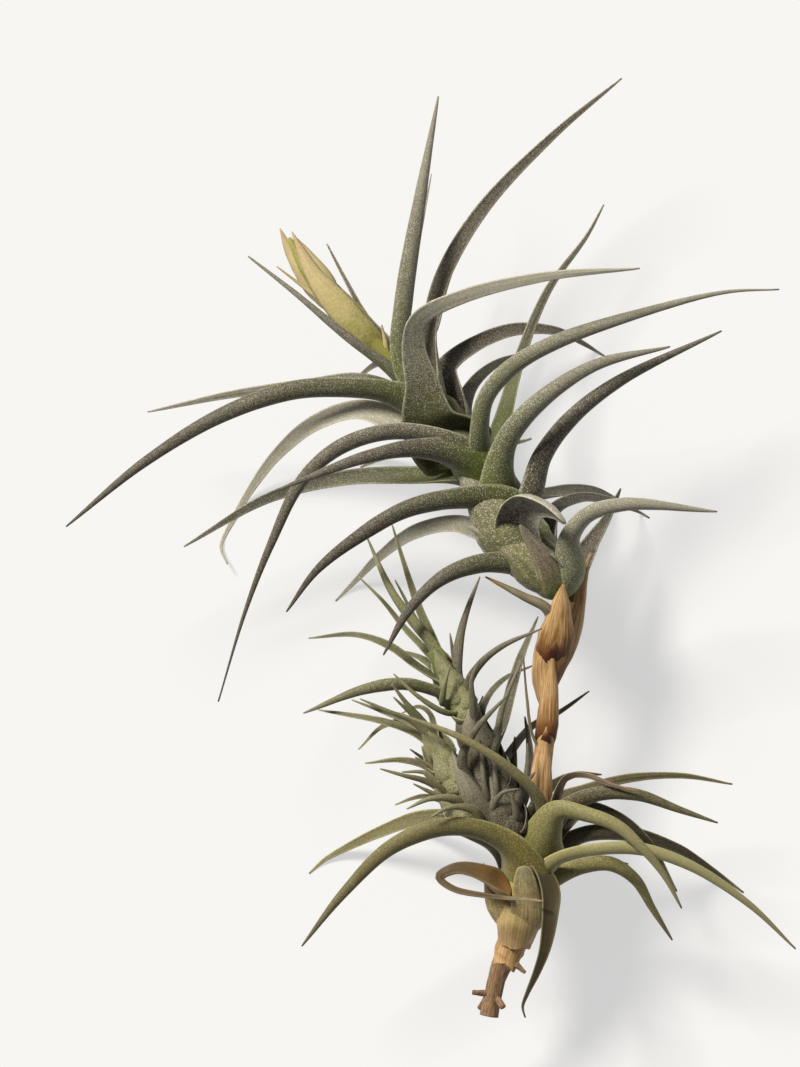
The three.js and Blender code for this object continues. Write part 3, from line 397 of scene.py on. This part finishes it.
def curveAt(points, share):
    # A smooth curve through the points, read at parts of its length: between two points it is a cubic
    # whose end slopes weigh the neighbouring spans by the square roots of their lengths
    p = np.asarray(points, float)
    p = np.vstack([2 * p[0] - p[1], p, 2 * p[-1] - p[-2]])
    gap = np.sqrt(np.linalg.norm(np.diff(p, axis=0), axis=1))[:, None]
    before, span, after = gap[:-2], gap[1:-1], gap[2:]
    step = (p[2:-1] - p[1:-2]) / span
    slopeIn = span * ((p[1:-2] - p[:-3]) / before - (p[2:-1] - p[:-3]) / (before + span) + step)
    slopeOut = span * (step - (p[3:] - p[1:-2]) / (span + after) + (p[3:] - p[2:-1]) / after)
    t = np.linspace(0, len(span), curveSteps * len(span) + 1)
    k = np.minimum(t.astype(int), len(span) - 1)
    w = (t - k)[:, None]
    fine = ((2 * w**3 - 3 * w**2 + 1) * p[1:-2][k] + (w**3 - 2 * w**2 + w) * slopeIn[k]
            + (3 * w**2 - 2 * w**3) * p[2:-1][k] + (w**3 - w**2) * slopeOut[k])
    run = np.concatenate([[0], np.cumsum(np.linalg.norm(np.diff(fine, axis=0), axis=1))])
    way = np.gradient(fine, run, axis=0)
    at = np.clip(np.asarray(share, float), 0, 1) * run[-1]
    place = np.stack([np.interp(at, run, fine[:, a]) for a in range(3)], -1)
    tangent = unit(np.stack([np.interp(at, run, way[:, a]) for a in range(3)], -1))
    return place, tangent, run[-1]


def waves(seed, s, count, amount):
    # A gentle irregular line along a leaf: a few sine waves of random pace and phase, for each row
    rng = np.random.default_rng(seed)
    total = np.zeros(s.shape)
    for k in range(count):
        pace = rng.uniform(1.5, 3.0, (len(s), 1)) * (k + 1)
        total += np.sin(2 * np.pi * (s * pace + rng.random((len(s), 1)))) / (k + 1)
    return total * amount


def sweep(centre, across, inward, sideways, height, extra):
    # Closed skins carried along paths. centre, across and inward are given at each station of each
    # leaf, sideways and height at each point of its ring. extra holds values for each point.
    points = (centre[:, :, None] + across[:, :, None] * sideways[..., None]
              + inward[:, :, None] * height[..., None])
    leaves, stations, ring = sideways.shape
    number = np.arange(leaves * stations * ring).reshape(leaves, stations, ring)
    after = np.roll(number, -1, axis=2)
    quads = np.stack([number[:, :-1], after[:, :-1], after[:, 1:], number[:, 1:]], -1).reshape(-1, 4)
    caps = [row[::-1] for row in number[:, 0]] + [row for row in number[:, -1]]
    return {"points": points.reshape(-1, 3), "quads": quads, "caps": caps,
            "extra": {name: np.broadcast_to(value, sideways.shape).reshape(-1)
                      for name, value in extra.items()}}


# The blade of every leaf: how its stations crowd towards the root, half the angle of its arc in degrees
# (for the blade, what the sheath adds and what the tip adds), how much of its width it has where it
# parts from the stem, the swelling of a bract, and how its thickness thins out
bladeLook = {"crowding": 1.25, "arc": 58, "sheathArc": 26, "tipArc": 16, "partingWidth": 0.45,
             "partingReach": 1.2, "swellFrom": 0.12, "swellBend": 0.7, "thinning": 0.6,
             "wallMost": 0.8, "scorchReach": 0.3, "bareBrown": 0.6}


def leafSkins(shoot, look, seed):
    # Every leaf of a shoot: a channelled blade on a smooth path, which narrows from a clasping sheath
    # to a point. Its section is an arc, thick in its middle and thin at its edges, whose hollow side
    # faces the stem. The blade twists its face up a little over its middle. With s from 0 at the root
    # to 1 at the tip, its width is that of the blade times (1 - s) to the power taper, or times a half
    # sine for a bract, and the sheath adds its own width times exp(-(distance / reach) squared).
    rows = shoot["leaves"]
    stations = look["stations"]
    share = np.linspace(0, 1, stations + 1) ** bladeLook["crowding"]
    s = np.broadcast_to(share, (len(rows), stations + 1))

    def each(key, usual):
        return np.array([row.get(key, usual) for row in rows], float)[:, None]

    axisLength = curveAt(shoot["core"]["path"], [0])[2]
    rootAt = np.maximum(0, each("at", 0) - look["rootDepth"] / axisLength)[:, 0]
    roots, rootWays, _ = curveAt(shoot["core"]["path"], rootAt)
    curves = [curveAt([root, *row["path"]], share) for root, row in zip(roots, rows)]
    centre = np.stack([c[0] for c in curves])
    along = np.stack([c[1] for c in curves])
    length = np.array([c[2] for c in curves])[:, None]

    # The hollow side is set where a leaf has gone a third of its way, and it rolls about its own
    # direction at a quarter
    third = np.argmin(np.abs(share - 1 / 3))
    outward = centre[:, third] - roots
    outward = unit(outward - rootWays * np.sum(outward * rootWays, -1, keepdims=True))
    first = np.cross(rootWays, outward)
    turn = np.radians(each("roll", 0))
    pivot = along[:, np.argmin(np.abs(share - 1 / 4))]
    first = (first * np.cos(turn) + np.cross(pivot, first) * np.sin(turn)
             + pivot * np.sum(pivot * first, -1, keepdims=True) * (1 - np.cos(turn)))
    across = np.zeros_like(centre)
    facing = each("face", 3.0) * s * (1 - s) * look["cadSteps"] / stations
    for i in range(stations + 1):                # station by station, all leaves at once
        side = first if i == 0 else across[:, i - 1]
        side = unit(side - along[:, i] * np.sum(side * along[:, i], -1, keepdims=True))
        level = np.cross(up, along[:, i])
        sign = np.where(np.sum(side * level, -1, keepdims=True) < 0, -1.0, 1.0)
        across[:, i] = unit(side + level * sign * facing[:, i:i + 1])
    inward = np.cross(along, across)

    flare = np.exp(-(s * length / each("reach", look["reach"])) ** 2)
    swellFrom = bladeLook["swellFrom"]
    swelling = np.sin(np.pi * (swellFrom + (1 - swellFrom) * s ** bladeLook["swellBend"]))
    narrowing = (1 - s) ** each("taper", 0.85)
    outline = np.where(each("belly", 0) > 0, swelling, narrowing)
    wide = each("width", 5)
    sheath = np.array([row.get("sheath", row["width"]) for row in rows], float)[:, None]
    width = look["tip"] + (wide - look["tip"]) * outline + np.maximum(0, sheath - wide) * flare
    parting = np.minimum(1, s * length / (bladeLook["partingReach"] * look["rootDepth"]))
    narrow = bladeLook["partingWidth"]
    width = width * (narrow + (1 - narrow) * np.sin(parting * np.pi / 2))
    width = width * (1 + waves(seed, s, 4, look["ripple"]))
    fold = np.radians(bladeLook["arc"] + bladeLook["sheathArc"] * flare + bladeLook["tipArc"] * s * s)
    fold = fold * each("gutter", 1)
    thick = look["tip"] + (look["thickness"] - look["tip"]) * (1 - s) ** bladeLook["thinning"]

    half = look["facets"]
    u = np.linspace(-1, 1, half)
    radius = (width / (2 * np.sin(np.minimum(fold, np.pi / 2))))[..., None]
    hub = radius * (1 - np.cos(fold))[..., None] / 2 + radius * np.cos(fold)[..., None]
    wall = look["edge"] + (thick[..., None] - look["edge"]) * (1 - u ** 2)
    wall = np.minimum(wall, bladeLook["wallMost"] * radius)
    outer = fold[..., None] * u
    sideways = np.concatenate([radius * np.sin(outer),
                               ((radius - wall) * np.sin(outer))[..., ::-1]], -1)
    height = np.concatenate([hub - radius * np.cos(outer),
                             (hub - (radius - wall) * np.cos(outer))[..., ::-1]], -1)
    tone = np.random.default_rng(seed + 1).uniform(-1, 1, (len(rows), 1, 1))
    fromEdge = np.concatenate([u, u[::-1]])
    # Brown at the foot: the dry brown of the stalk's bracts, and painted shade on the two front hoods
    scorched = each("scorch", 0) * np.exp(-(s / bladeLook["scorchReach"]) ** 2)
    extra = {
        "along": s[..., None],
        # the hollow side's share of painted shade, as strong as each leaf's row gives
        "inner": np.repeat([0.0, 1.0], half) * each("inside", 1)[..., None],
        "edge": np.abs(fromEdge),
        "tone": tone,
        "green": (each("green", 0) * np.exp(-(s / each("spread", 0.34)) ** 2))[..., None],
        "brown": (each("brown", 0) + scorched + each("bare", 0) * s * bladeLook["bareBrown"])[..., None],
        "pale": (each("pale", 0) - each("bare", 0) * s)[..., None],
        "husk": each("husk", 0)[..., None],
        "u": fromEdge * np.mean(width) / 2,
        "v": (s * length)[..., None],
    }
    return sweep(centre, across, inward, sideways, height, extra)


roughWaves = (2, 3, 5, 8, 13)                 # waves round a stem that make it uneven
tearReach = 3                                 # millimetres of a stem's end that a tear moves


def stemSkin(core, look, seed):
    # A stem: round rings along a curve, whose radius eases through the given radii, times 1 plus a few
    # sine waves round it that drift along it
    share = np.linspace(0, 1, look["stemStations"] + 1)
    centre, along, length = curveAt(core["path"], share)
    across = np.zeros_like(centre)
    side = up
    for i in range(len(share)):
        side = unit(side - along[i] * np.dot(side, along[i]))
        across[i] = side
    other = np.cross(along, across)
    radius = np.interp(share * (len(core["radii"]) - 1), np.arange(len(core["radii"])), core["radii"])
    turn = np.linspace(0, 2 * np.pi, look["stemSides"], endpoint=False)
    rng = np.random.default_rng(seed)
    rough = sum(np.sin(turn * k + rng.uniform(0, 6) + share[:, None] * rng.uniform(3, 20)) / k
                for k in roughWaves) * look.get("stemRough", 0.02)
    size = radius[:, None] * (1 + rough)
    run = share[:, None] * length
    extra = {"along": 0.0, "inner": 0.0, "edge": 0.0, "tone": 0.0, "brown": 0.0,
             "green": look.get("stemGreen", 0.0), "pale": look.get("stemPale", 0.0),
             "husk": (np.exp(-(run / look.get("huskReach", 0.01)) ** 2))[None],
             "u": (turn * np.mean(radius))[None, None], "v": run[None]}
    skin = sweep(centre[None], across[None], other[None],
                 (size * np.cos(turn))[None], (size * np.sin(turn))[None], extra)
    # A torn lower edge: the first rings move along the stem by uneven steps
    tear = sum(np.sin(turn * k + rng.uniform(0, 6)) / k for k in roughWaves)
    tear = tear * look.get("torn", 0) * np.exp(-(run / tearReach) ** 2)
    skin["points"] += (along[:, None] * tear[..., None]).reshape(-1, 3)
    return skin


def easeUp(z, give=0.12):
    # Heights eased onto the surface: far above it they stay, and near or below it they flatten
    # towards it without meeting, as the soft plus of z does: give * ln(1 + exp(z / give))
    return give * np.logaddexp(0, z / give)


toneStep = 7                                  # sets the grain of two leaves apart


def buildPiece(name, skins, material, nodes):
    # One mesh from several skins, each vertex moved to the part's frame and kept above the surface
    points, quads, caps, extra, base = [], [], [], {}, 0
    for skin in skins:
        points.append(skin["points"])
        quads.append(skin["quads"] + base)
        caps += [(cap + base).tolist() for cap in skin["caps"]]
        for key, value in skin["extra"].items():
            extra.setdefault(key, []).append(value)
        base += len(skin["points"])
    points = np.concatenate(points) - tableCentre
    points[:, 2] = easeUp(points[:, 2])
    mesh = bpy.data.meshes.new(name)
    mesh.from_pydata((points * millimetre).tolist(), [], np.concatenate(quads).tolist() + caps)
    mesh.polygons.foreach_set("use_smooth", np.ones(len(mesh.polygons), bool))
    for key in ("along", "inner", "edge", "tone", "green", "brown", "pale", "husk"):
        layer = mesh.attributes.new(key, "FLOAT", "POINT")
        layer.data.foreach_set("value", np.concatenate(extra[key]).astype(np.float32))
    layer = mesh.attributes.new("grain", "FLOAT_VECTOR", "POINT")
    grain = [np.concatenate(extra[key]) for key in ("u", "v", "tone")]
    grain[2] = grain[2] * toneStep
    grain = np.stack(grain, -1)
    layer.data.foreach_set("vector", grain.astype(np.float32).reshape(-1))
    mesh.materials.append(material)
    mesh.update()
    piece = bpy.data.objects.new(name, mesh)
    bpy.context.scene.collection.objects.link(piece)
    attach(piece, "root")
    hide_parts(*nodes)
    print(f"{name}: {len(mesh.polygons)} faces")


# Materials

class Wire:
    # A value in a material: arithmetic on it adds Math nodes, and make adds any other node
    def __init__(self, tree, socket=None):
        self.tree = tree
        self.socket = socket

    def make(self, kind, settings, inputs, output=0):
        node = self.tree.nodes.new("ShaderNode" + kind)
        for name, value in settings.items():
            setattr(node, name, value)
        for key, value in inputs.items():
            if isinstance(value, Wire):
                self.tree.links.new(value.socket, node.inputs[key])
            else:
                node.inputs[key].default_value = value
        return Wire(self.tree, node.outputs[output])

    def math(self, operation, *values):
        return self.make("Math", {"operation": operation}, dict(enumerate(values)))

    def __add__(self, other):
        return self.math("ADD", self, other)

    def __sub__(self, other):
        return self.math("SUBTRACT", self, other)

    def __rsub__(self, other):
        return self.math("SUBTRACT", other, self)

    def __mul__(self, other):
        return self.math("MULTIPLY", self, other)

    __radd__ = __add__
    __rmul__ = __mul__

    def rise(self, low, high):                # 0 below low and 1 above high, with soft ends
        return self.make("MapRange", {"interpolation_type": "SMOOTHSTEP"},
                         {"Value": self, "From Min": low, "From Max": high})

    def least(self, other):
        return self.math("MINIMUM", self, other)

    def blend(self, first, second):           # a colour between two, by this share
        return self.make("Mix", {"data_type": "RGBA"}, {0: self, 6: first, 7: second}, 2)

    def scaled(self, x, y, z):                # a vector stretched along its axes
        return self.make("VectorMath", {"operation": "MULTIPLY"}, {0: self, 1: (x, y, z)})

    def noise(self, scale, detail=3.0, rough=0.55):
        return self.make("TexNoise", {}, {"Vector": self, "Scale": scale, "Detail": detail,
                                          "Roughness": rough})


# What all skins share: the scales of the noises (per metre, and for the lines per millimetre across and
# along a leaf), how far the blotches shift the colours, where the bloom starts and how fast it grows
# with the cover, where a leaf's margin is, how large a bright scale is, and the depth of the relief
skinDetail = {"blotch": 90.0, "patch": 420.0, "line": (1.9, 0.045), "shift": 0.3, "greenShift": 0.8,
              "dryLines": 4, "dryPatches": 3, "tipShift": 0.2, "paleShare": 0.5, "freshBare": 0.25,
              "huskBare": 0.6, "level": 0.66, "growth": 0.32, "margin": (0.88, 0.98),
              "sparkSize": (0.16, 0.34), "huskLines": 1.6, "huskLight": 0.3, "relief": 0.00018,
              "fleckLift": 0.7, "huskLift": 3, "patchLift": 0.8, "rough": 0.72, "roughShift": 0.2,
              "sheenRough": 0.5}


def plantMaterial(name, look):
    # Plant skin: flesh, greener or browner along the leaf, under a soft bloom of pale scales with
    # brighter single scales on it. A fine noise above a level is bloom, and the level sinks where the
    # cover is thick.
    material = bpy.data.materials.new(name)
    material.use_nodes = True
    tree = material.node_tree
    tree.nodes.clear()
    start = Wire(tree)
    detail = skinDetail

    def value(key):
        return start.make("Attribute", {"attribute_name": key}, {}, "Fac")

    place = start.make("TexCoord", {}, {}, "Object")
    grain = start.make("Attribute", {"attribute_name": "grain"}, {}, "Vector")
    along, inner, edge = value("along"), value("inner"), value("edge")
    tone, green, brown, pale = value("tone"), value("green"), value("brown"), value("pale")
    husk = value("husk")

    blotch = place.noise(detail["blotch"])
    patch = place.noise(detail["patch"], 3.0, 0.6)
    lines = grain.scaled(*detail["line"], 1.0).noise(1.0)
    flecks = grain.scaled(*look["fleck"], 1.0).noise(1.0, 2.0, 0.6)
    spots = grain.scaled(*look["dot"], 1.0)
    dots = spots.make("TexVoronoi", {}, {"Vector": spots, "Scale": 1.0}, "Distance")

    reach = along + (blotch - 0.5) * detail["shift"]
    fresh = (green * (1 + (blotch - 0.5) * detail["greenShift"])).least(1.0)
    flesh = reach.rise(0.0, look["baseEnd"]).blend(hexColour(look["base"]), hexColour(look["flesh"]))
    # Painted shade on the hollow side: its flesh turns towards the darker hollow colour
    flesh = (inner * look["innerShare"]).blend(flesh, hexColour(look["inner"]))
    flesh = brown.blend(flesh, hexColour(look["brown"]))
    dry = 1 + (lines - 0.5) * detail["dryLines"] + (patch - 0.5) * detail["dryPatches"]
    dry = (husk * dry).least(1.0)
    flesh = dry.blend(flesh, hexColour(look["husk"]))
    flesh = fresh.blend(flesh, hexColour(look["fresh"]))
    tipShare = (along + (patch - 0.5) * detail["tipShift"]).rise(look["tipStart"], 1.0)
    flesh = tipShare.blend(flesh, hexColour(look["tip"]))

    cover = look["cover"] + along * look["rise"] + pale * detail["paleShare"]
    cover = cover + (patch - 0.5) * look["patches"] + tone * look["vary"]
    # Less bloom where the leaf is fresh and on the hollow side, the latter as painted shade; streaks shift
    # it
    cover = cover - fresh * detail["freshBare"] + (lines - 0.5) * look["lines"] - inner * look["innerBare"]
    cover = cover - husk * detail["huskBare"] - brown * look["brownBare"]
    level = detail["level"] - cover * detail["growth"]
    bloom = flecks.rise(level - look["soft"], level + look["soft"]) * look["strength"]
    bloom = (bloom + edge.rise(*detail["margin"]) * look["margin"]).least(1.0)
    scaleColour = fresh.blend(hexColour(look["scale"]), hexColour(look["freshScale"]))
    body = bloom.blend(flesh, scaleColour)
    spark = (1 - dots.rise(*detail["sparkSize"])) * (cover * 0.5 + 0.5) * look["sparks"]
    body = spark.least(1.0).blend(body, hexColour(look["spark"]))
    shade = 1 + (lines - 0.5) * (husk * detail["huskLines"] + look["lines"])
    shade = (shade + (blotch - 0.5) * detail["shift"] + husk * detail["huskLight"]) * look["shade"]
    colour = body.make("VectorMath", {"operation": "SCALE"}, {0: body, "Scale": shade})

    lift = flecks * detail["fleckLift"] + lines * (husk * detail["huskLift"] + look["ribs"])
    lift = lift + patch * detail["patchLift"]
    bump = start.make("Bump", {}, {"Strength": look["bump"], "Distance": detail["relief"], "Height": lift})
    shader = tree.nodes.new("ShaderNodeBsdfPrincipled")
    shader.inputs["Specular IOR Level"].default_value = look["gloss"]
    shader.inputs["Sheen Weight"].default_value = look["sheen"]
    shader.inputs["Sheen Roughness"].default_value = detail["sheenRough"]
    tree.links.new(colour.socket, shader.inputs["Base Color"])
    roughness = detail["rough"] - patch * detail["roughShift"]
    tree.links.new(roughness.socket, shader.inputs["Roughness"])
    tree.links.new(bump.socket, shader.inputs["Normal"])
    output = tree.nodes.new("ShaderNodeOutputMaterial")
    tree.links.new(shader.outputs[0], output.inputs[0])
    return material


# How each group of leaves is drawn: stations along a leaf, points across each side, steps of the
# solid's leaf (which set its twist), depth of its root in the stem, reach of its sheath, thickness at
# the root, tip width and margin thickness in millimetres, and the irregularity of the margins. Some
# have clasping sheaths on their stems, clasp times the stem's radius wide.
largeLook = {"stations": 64, "facets": 13, "cadSteps": 8, "rootDepth": 7, "reach": 15,
             "thickness": 1.5, "tip": 0.5, "edge": 0.28, "ripple": 0.018,
             "stemStations": 60, "stemSides": 36}
smallLook = {"stations": 44, "facets": 9, "cadSteps": 5, "rootDepth": 2.5, "reach": 4,
             "thickness": 0.9, "tip": 0.4, "edge": 0.22, "ripple": 0.03,
             "stemStations": 40, "stemSides": 24}

pupShape = {**smallLook, "reach": 5.5, "clasp": 2.2, "stemGreen": 0.5}

# How each kind of skin looks. Colours of the flesh: at the foot, along the blade, on the hollow side
# (mostly darker, as painted shade), where it is fresh green, brown, at the tip and where it is dry; and
# of the scales. cover, rise: how thick the bloom is and how it grows along a leaf. fleck, dot: how close
# its flecks and bright scales lie, across and along a leaf, for each millimetre. soft, strength: how
# soft and how strong the bloom is. patches, vary, lines: how uneven it is from place to place, from
# leaf to leaf and in streaks. innerShare, innerBare: how far the hollow side takes its darker colour
# and how much bloom it loses there, both painted shade.
plainLook = {"base": "6a6a34", "flesh": "57503a", "inner": "3d371e", "innerShare": 0.6,
             "innerBare": 0.4, "baseEnd": 0.3, "fresh": "738030", "freshScale": "a8b078",
             "brown": "3f3424", "brownBare": 0.0, "husk": "c39a68", "tip": "51473a", "tipStart": 0.7,
             "scale": "c2bda6", "cover": 0.2, "rise": 0.45, "fleck": (5.4, 3.4),
             "soft": 0.2, "strength": 0.7, "patches": 0.3, "vary": 0.06, "lines": 0.25,
             "margin": 0.35, "ribs": 0.4, "bump": 0.6, "gloss": 0.3, "sheen": 0.05, "shade": 0.62,
             "dot": (3.0, 2.2), "sparks": 1.0, "spark": "f6f4ea"}
motherLook = {**plainLook, "base": "a08438", "flesh": "6a5f26", "inner": "33290a", "fresh": "707022",
              "freshScale": "b9b46e", "brown": "362a18", "scale": "bdb580", "sparks": 0.35}
pupLook = {**plainLook, "base": "66702a", "flesh": "5a5a2a", "fresh": "62731f", "scale": "b8b688",
           "fleck": (6.0, 4.0), "innerBare": 0.2, "cover": 0.25, "sparks": 0.35}
strawLook = {**plainLook, "base": "a0713a", "flesh": "a0702f", "inner": "7f5527", "brown": "5a2408",
             "fresh": "7d7050", "freshScale": "c2b898", "tip": "9c7647", "scale": "e6c08a",
             "brownBare": 1.4, "cover": 0.6, "rise": 0.0, "fleck": (5.5, 0.11), "soft": 0.2,
             "strength": 0.9, "patches": 0.6, "lines": 0.6, "margin": 0.2, "ribs": 1.6, "bump": 0.8,
             "sparks": 0.0}


# Clasping sheaths: how far along the stem each starts before its leaf and ends past it, how high it
# stands off the stem at its three points, and where more of them lie over the stem's upper side
claspLook = {"before": 0.22, "past": 0.2, "rises": (-0.2, 0.4, 0.7), "lift": 9.0, "lean": 0.6,
             "over": ((0.08, 4), (0.2, -5), (0.34, 3), (0.48, -4), (0.62, 2))}


def claspRows(shoot, look):
    # A short pointed sheath under each leaf, which lies on the stem and clasps it
    rows = []
    path, radii = shoot["core"]["path"], shoot["core"]["radii"]
    least = look.get("claspFrom", 0)
    lean, lift = claspLook["lean"], claspLook["lift"]
    over = [{"at": at, "path": [curveAt(path, [at])[0][0] + np.array([side, side * lean, lift])]}
            for at, side in claspLook["over"]]
    for row in [row for row in over + shoot["leaves"] if row["at"] > least]:
        at = row["at"]
        first = max(at - claspLook["before"], 0)
        here = curveAt(path, [first, at, min(at + claspLook["past"], 1)])[0]
        radius = np.interp(at, np.linspace(0, 1, len(radii)), radii)
        way = unit(here[2] - here[0])
        out = np.array(row["path"][0], float) - here[1]
        out = unit(out - way * np.dot(out, way))
        lifted = [spot + out * (radius + rise) for spot, rise in zip(here, claspLook["rises"])]
        rows.append({"at": first, "width": look["clasp"] * radius, "belly": True,
                     "green": row.get("green", 0) + look.get("claspGreen", 0.5),
                     "pale": look.get("claspPale", 0.3), "brown": look.get("claspBrown", 0),
                     "path": lifted})
    return rows


def together(core, leaves):
    return {"core": core, "leaves": leaves}


def shootSkins(shoot, look, seed):
    # The leaves of a shoot, with clasping sheaths where the look has them, and its stem
    if look.get("clasp"):
        shoot = together(shoot["core"], shoot["leaves"] + claspRows(shoot, look))
    skins = [leafSkins(shoot, look, seed)]
    if look.get("stem", True):
        skins.append(stemSkin(shoot["core"], look, seed))
    return skins


# Each shoot: its node, finish, stem and leaves, shape, seed and skin
pieces = [
    ("upper_rosette", "silver_leaf",
     together(upperRosetteCore, upperRosetteLeaves + upperRosetteSheaths), largeLook, 11, plainLook),
    ("mother_rosette", "old_leaf",
     together(motherRosetteCore, motherRosetteLeaves + motherRosetteSheaths),
     {**largeLook, "torn": 0.8, "huskReach": 11.0, "stemPale": 0.5}, 21, motherLook),
    ("pup_grey", "grey_leaf", together(greyPupCore, greyPupLeaves + greyPupShadeAndSheaths),
     {**pupShape, "claspGreen": -0.2, "claspPale": -0.3, "claspBrown": 0.6}, 31,
     {**pupLook, "base": "4a4120", "flesh": "383016", "scale": "b8b092", "shade": 0.54}),
    ("pup_green", "green_leaf", together(greenPupCore, greenPupLeaves), pupShape, 41, pupLook),
    ("pup_left", "green_leaf", together(leftPupCore, leftPupLeaves), pupShape, 51,
     {**pupLook, "scale": "bcb68a"}),
    ("pup_low", "green_leaf", together(lowPupCore, lowPupLeaves), {**pupShape, "claspFrom": 0.4}, 61,
     {**pupLook, "base": "686222", "flesh": "544a1c", "scale": "bcb388"}),
    ("dry_stalk", "straw", together(dryStalkCore, dryStalkLeaves), smallLook, 71, strawLook),
    ("dry_leaf_curled", "dead_leaf", together(curledLeafCore, curledLeafLeaves),
     {**largeLook, "facets": 9, "stem": False}, 81,
     {**strawLook, "base": "b8863a", "flesh": "483b28", "inner": "7c6038", "innerShare": 0.4,
      "tip": "b3a07a", "scale": "968a6c", "cover": 0.3, "baseEnd": 0.3}),
    ("dry_leaf_right", "dead_leaf", together(rightDryLeafCore, rightDryLeafLeaves),
     {**smallLook, "stem": False}, 91,
     {**strawLook, "base": "75624a", "flesh": "84705a", "inner": "6b5a44", "scale": "b8a68c"}),
    ("flower_spike", "bud", together(flowerBudCore, flowerBudLeaves), smallLook, 101,
     {**strawLook, "base": "8c8a24", "baseEnd": 0.75, "flesh": "c2ae74", "inner": "8c8440",
      "tip": "a07c5c", "tipStart": 0.6, "scale": "e0d2a4", "cover": 0.3, "rise": 0.5,
      "fleck": (3.0, 1.2), "soft": 0.3, "strength": 0.5, "patches": 0.3, "margin": -0.2, "ribs": 0.5,
      "lines": 0.25, "bump": 0.5, "shade": 0.72}),
]
# The two torn sheaths round the old rosette's lower end
tornSheath = {**largeLook, "stemRough": 0.04}
extraSkins = {
    "mother_rosette": [
        stemSkin(innerSheathCore, {**tornSheath, "torn": 1.2, "huskReach": 40.0}, 23),
        stemSkin(outerSheathCore, {**tornSheath, "torn": 2.2, "huskReach": 7.5, "stemPale": 1.0}, 25)],
}
for node, slot, shoot, look, seed, skinLook in pieces:
    material = plantMaterial(slot + " " + node, skinLook)
    skins = shootSkins(shoot, look, seed) + extraSkins.get(node, [])
    buildPiece(node + "_fine", skins, material, [node])

# The root end: the stub of the old stem with four broken ends
rootLook = {**smallLook, "stemRough": 0.09, "stemSides": 40, "stemStations": 60}
rootSkinLook = {**strawLook, "base": "5a3a1a", "flesh": "5a3a1a", "scale": "b08e6a", "fleck": (3.6, 0.4)}
rootSkins = [stemSkin(core, rootLook, 111 + i) for i, core in enumerate([rootStubCore, *rootStubEnds])]
buildPiece("root_stub_fine", rootSkins, plantMaterial("root", rootSkinLook),
           ["root_stub"])


# The floor, the light and the camera

floorLook = {"colour": "838280", "glow": "ffffff", "glowStrength": 0.58, "roughness": 0.9,
             "size": 6.0, "below": 0.0002}
floorMesh = bpy.data.meshes.new("floor")
half = floorLook["size"] / 2
corners = [(-half, -half), (half, -half), (half, half), (-half, half)]
floorMesh.from_pydata([(x, y, -floorLook["below"]) for x, y in corners], [], [(0, 1, 2, 3)])
floor = bpy.data.objects.new("floor", floorMesh)
bpy.context.scene.collection.objects.link(floor)
floorMaterial = bpy.data.materials.new("floor")
floorMaterial.use_nodes = True
floorSkin = floorMaterial.node_tree.nodes["Principled BSDF"].inputs
floorSkin["Base Color"].default_value = hexColour(floorLook["colour"])
floorSkin["Roughness"].default_value = floorLook["roughness"]
floorSkin["Emission Color"].default_value = hexColour(floorLook["glow"])
floorSkin["Emission Strength"].default_value = floorLook["glowStrength"]
floorMesh.materials.append(floorMaterial)

sunLook = {"from": (-0.48, 0.6, 0.74), "strength": 5.8, "spread": 13.0, "colour": (1.0, 0.96, 0.89)}
sun = bpy.data.lights.new("sun", "SUN")
sun.energy = sunLook["strength"]
sun.angle = math.radians(sunLook["spread"])
sun.color = sunLook["colour"]
sunLamp = bpy.data.objects.new("sun", sun)
sunLamp.rotation_euler = (-Vector(sunLook["from"])).to_track_quat("-Z", "Y").to_euler()
bpy.context.scene.collection.objects.link(sunLamp)

worldLook = {"colour": (0.97, 0.98, 1.0), "strength": 0.22}
world = bpy.data.worlds.new("world")
bpy.context.scene.world = world
world.use_nodes = True
sky = world.node_tree.nodes["Background"].inputs
sky["Color"].default_value = (*worldLook["colour"], 1.0)
sky["Strength"].default_value = worldLook["strength"]

# The camera looks straight down on the plant, from far enough to flatten its depth as a long lens does
cameraLook = {"height": 5.0, "view": 0.3201, "middle": (-0.0095, 0.00435), "plane": 0.045,
              "sensor": 36.0, "farthest": 50.0}
cameraData = bpy.data.cameras.new("camera")
cameraData.sensor_width = cameraLook["sensor"]
cameraData.lens = cameraLook["sensor"] * cameraLook["height"] / cameraLook["view"]
cameraData.clip_end = cameraLook["farthest"]
camera = bpy.data.objects.new("camera", cameraData)
camera.location = (*cameraLook["middle"], cameraLook["plane"] + cameraLook["height"])
bpy.context.scene.collection.objects.link(camera)
bpy.context.scene.camera = camera
bpy.context.scene.view_settings.view_transform = "Standard"
print("floor, light and camera set")
